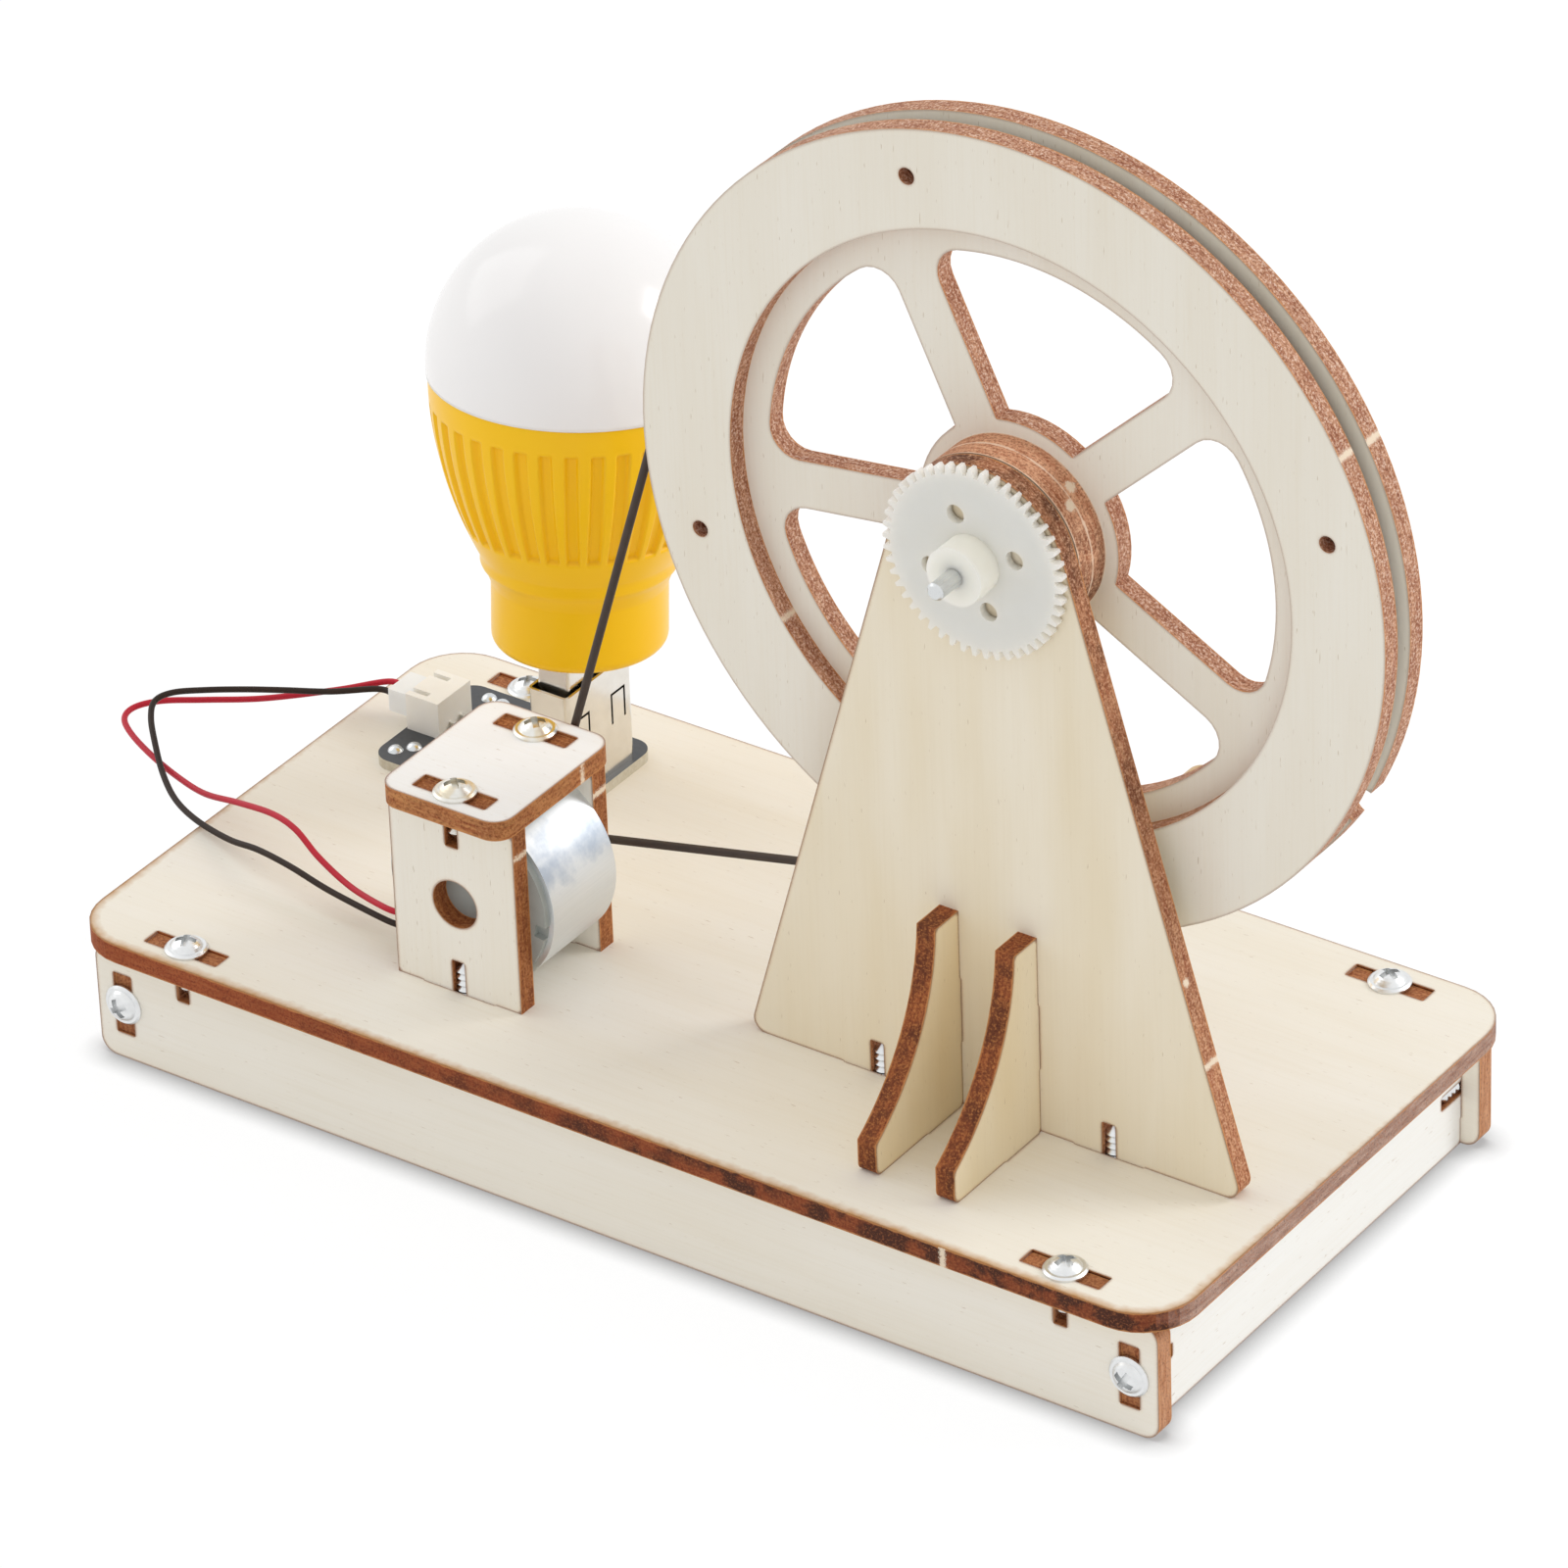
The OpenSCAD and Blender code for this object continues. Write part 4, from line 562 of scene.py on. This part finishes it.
# Body, in millimetres: a collar with a round foot, a step, a flare that ends upright at the rim, and inside
# it a cup with a ledge
collar_r, collar_h, collar_round = 12.4, 10.4, 1.8
neck_r, step_h, flare_h = 13.9, 12.6, 14.0
rim_r, body_h = 20.9, 41.1
cup_r, cup_depth, ledge_r, ledge_h = 19.3, 4.0, 17.7, 32.1
slots, slot_depth, slot_half, slot_soft = 36, 0.8, 0.85, 0.18
slot_low, slot_high, slot_turn = 18.9, 37.0, math.radians(2.2)

bend = np.linspace(0, np.pi / 2, 9)
up = np.linspace(0, 1, 96)
flare = neck_r + (rim_r - neck_r) * (1 - (1 - up) ** 2)
outside = np.vstack([
    [(0.0, 0.0), (6.0, 0.0)],
    np.stack([collar_r - collar_round + collar_round * np.sin(bend),
              collar_round - collar_round * np.cos(bend)], 1),
    [(collar_r, 5.0), (collar_r, collar_h - 0.9), (collar_r + 0.05, collar_h - 0.6),
     (collar_r + 0.3, collar_h), (collar_r + 0.6, collar_h + 0.8), (neck_r - 0.5, step_h - 0.6),
     (neck_r - 0.15, step_h - 0.2), (neck_r, step_h + 0.2), (neck_r, flare_h - 0.5)],
    np.stack([flare, flare_h + (body_h - flare_h) * up], 1)[1:-1]])
inside = np.array([
    (rim_r, body_h - 0.15), (rim_r - 0.15, body_h), (cup_r + 0.1, body_h), (cup_r, body_h - 0.1),
    (cup_r, body_h - cup_depth), (ledge_r, ledge_h + 1.6), (ledge_r, ledge_h + 0.1),
    (ledge_r - 0.1, ledge_h), (0.0, ledge_h)])


def slotted(outline, angle):
    """The outline at each angle, sunk in the slots. A point's distance past the nearest side or end of a
    slot, negative inside it, sets how deep it sinks, with a soft shoulder on both sides of the slot's edge."""
    r, h = outline[None, :, 0], outline[None, :, 1]
    pitch = 2 * np.pi / slots
    beside = r * np.abs(np.mod(angle[:, None] + slot_turn, pitch) - pitch / 2) - slot_half
    beyond = np.maximum(slot_low - h, h - slot_high)
    share = np.clip(0.5 - np.maximum(beside, beyond) / (2 * slot_soft), 0, 1)
    sunk = r - slot_depth * share * share * (3 - 2 * share)
    return np.stack([sunk, np.broadcast_to(h, sunk.shape)], -1)


# Yellow ABS, injection moulded in a fine-blasted tool: a warm, saturated yellow with a soft sheen.
yellow = moulded("satin_yellow_abs", "#FFCC12", "#FFC60C", 0.30, patch=9.0, peel=0.4, gleam=0.25)
body_angles = np.linspace(0, 2 * np.pi, 576, endpoint=False)
body_points = np.hstack([turned(slotted(outside, body_angles), body_angles), turned(inside, body_angles)])
shell = grid_mesh("lamp_shell", body_points, True, False, yellow, "lamp")
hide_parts("lamp_body")
dress(moulded("white_lacquer_plate", "#F0F0EE", "#E2E2E0", 0.35), "led_plate")

# Dome, in millimetres: a thin globe whose open end stands on the rim, as one closed loop of two arcs
globe_r, globe_h, globe_wall = 21.2, 42.5, 1.2
arcs = []
for r, steps, way in ((globe_r, 56, 1), (globe_r - globe_wall, 40, -1)):
    rise = np.linspace(np.arcsin((body_h - globe_h) / r), np.pi / 2, steps)[::way]
    arcs.append(np.stack([r * np.cos(rise), globe_h + r * np.sin(rise)], 1))
globe_points = turned(np.vstack(arcs), np.linspace(0, 2 * np.pi, 128, endpoint=False))

# Opal polycarbonate, blow moulded: a cool milky white with one soft gloss.
opal = moulded("opal_polycarbonate", "#F7F5F4", "#F4F2F1", 0.18, patch=12.0, peel=1.5)
dome = grid_mesh("opal_dome", globe_points, True, True, opal, "lamp")
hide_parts("lamp_dome")

# Floor and light: a plain white sweep with a painted shadow where the model stands on it and a faint real
# shadow, under an even white surround with one softbox on the right behind the model and a wide weak one on
# the left.
floor_half, floor_z = 4.0, -0.0002
corners = [(i * floor_half, j * floor_half, floor_z) for i, j in ((-1, -1), (1, -1), (1, 1), (-1, 1))]
floor_mesh = bpy.data.meshes.new("studio_floor")
floor_mesh.from_pydata(corners, [], [(0, 1, 2, 3)])
floor = bpy.data.objects.new("studio_floor", floor_mesh)
bpy.context.scene.collection.objects.link(floor)


def seen(material):
    """One for rays that show the surround itself: from the camera, mirrored, or through something clear."""
    ray = add(material, "LightPath")
    shown = add(material, "Math", {0: ray.outputs["Is Camera Ray"], 1: ray.outputs["Is Glossy Ray"]},
                operation="MAXIMUM")
    return add(material, "Math", {0: shown, 1: ray.outputs["Is Transmission Ray"]}, operation="MAXIMUM")


# White paper: matt, and to the rays that show it mostly a white glow, with painted shade within 4.5 mm of what
# stands on it
paper = new_material("white_paper_sweep")
painted_contact_shadow = add(paper, "AmbientOcclusion", {"Distance": 0.0045}, samples=16)
shaded = add(paper, "MapRange", {
    "Value": painted_contact_shadow.outputs["AO"], "From Min": 0.5, "To Min": 0.45, "To Max": 1.04})
share = add(paper, "Math", {0: seen(paper), 1: 0.85}, operation="MULTIPLY")
matt = add(paper, "BsdfDiffuse", {"Color": linear("#FAFAFA")})
glow = add(paper, "Emission", {"Color": linear("#FFFFFF"), "Strength": shaded})
add(paper, "OutputMaterial", {"Surface": add(paper, "MixShader", {0: share, 1: matt, 2: glow})})
floor_mesh.materials.append(paper)

world = bpy.data.worlds.new("white_surround")
world.use_nodes = True
world.node_tree.nodes.clear()
level = add(world, "MapRange", {"Value": seen(world), "To Min": 0.80, "To Max": 1.0})
surround = add(world, "Background", {"Color": linear("#FFFFFF"), "Strength": level})
add(world, "OutputWorld", {"Surface": surround})
bpy.context.scene.world = world

light_aim = np.array((0, 0, 0.05))
for name, place, size, watts in (
        ("softbox", (0.99, 0.85, 0.95), 0.6, 7.0),
        ("fill", (-1.25, -0.05, 1.0), 1.2, 4.0)):
    light = bpy.data.lights.new(name, "AREA")
    light.shape = "SQUARE"
    light.size = size
    light.energy = watts
    panel = bpy.data.objects.new(name, light)
    bpy.context.scene.collection.objects.link(panel)
    back = np.array(place) - light_aim
    back /= np.linalg.norm(back)
    right = np.cross((0, 0, 1), back)
    right /= np.linalg.norm(right)
    turn = np.eye(4)
    turn[:3] = np.stack([right, np.cross(back, right), back, place], 1)
    panel.matrix_world = Matrix(turn.tolist())

bpy.context.scene.view_settings.view_transform = "Standard"
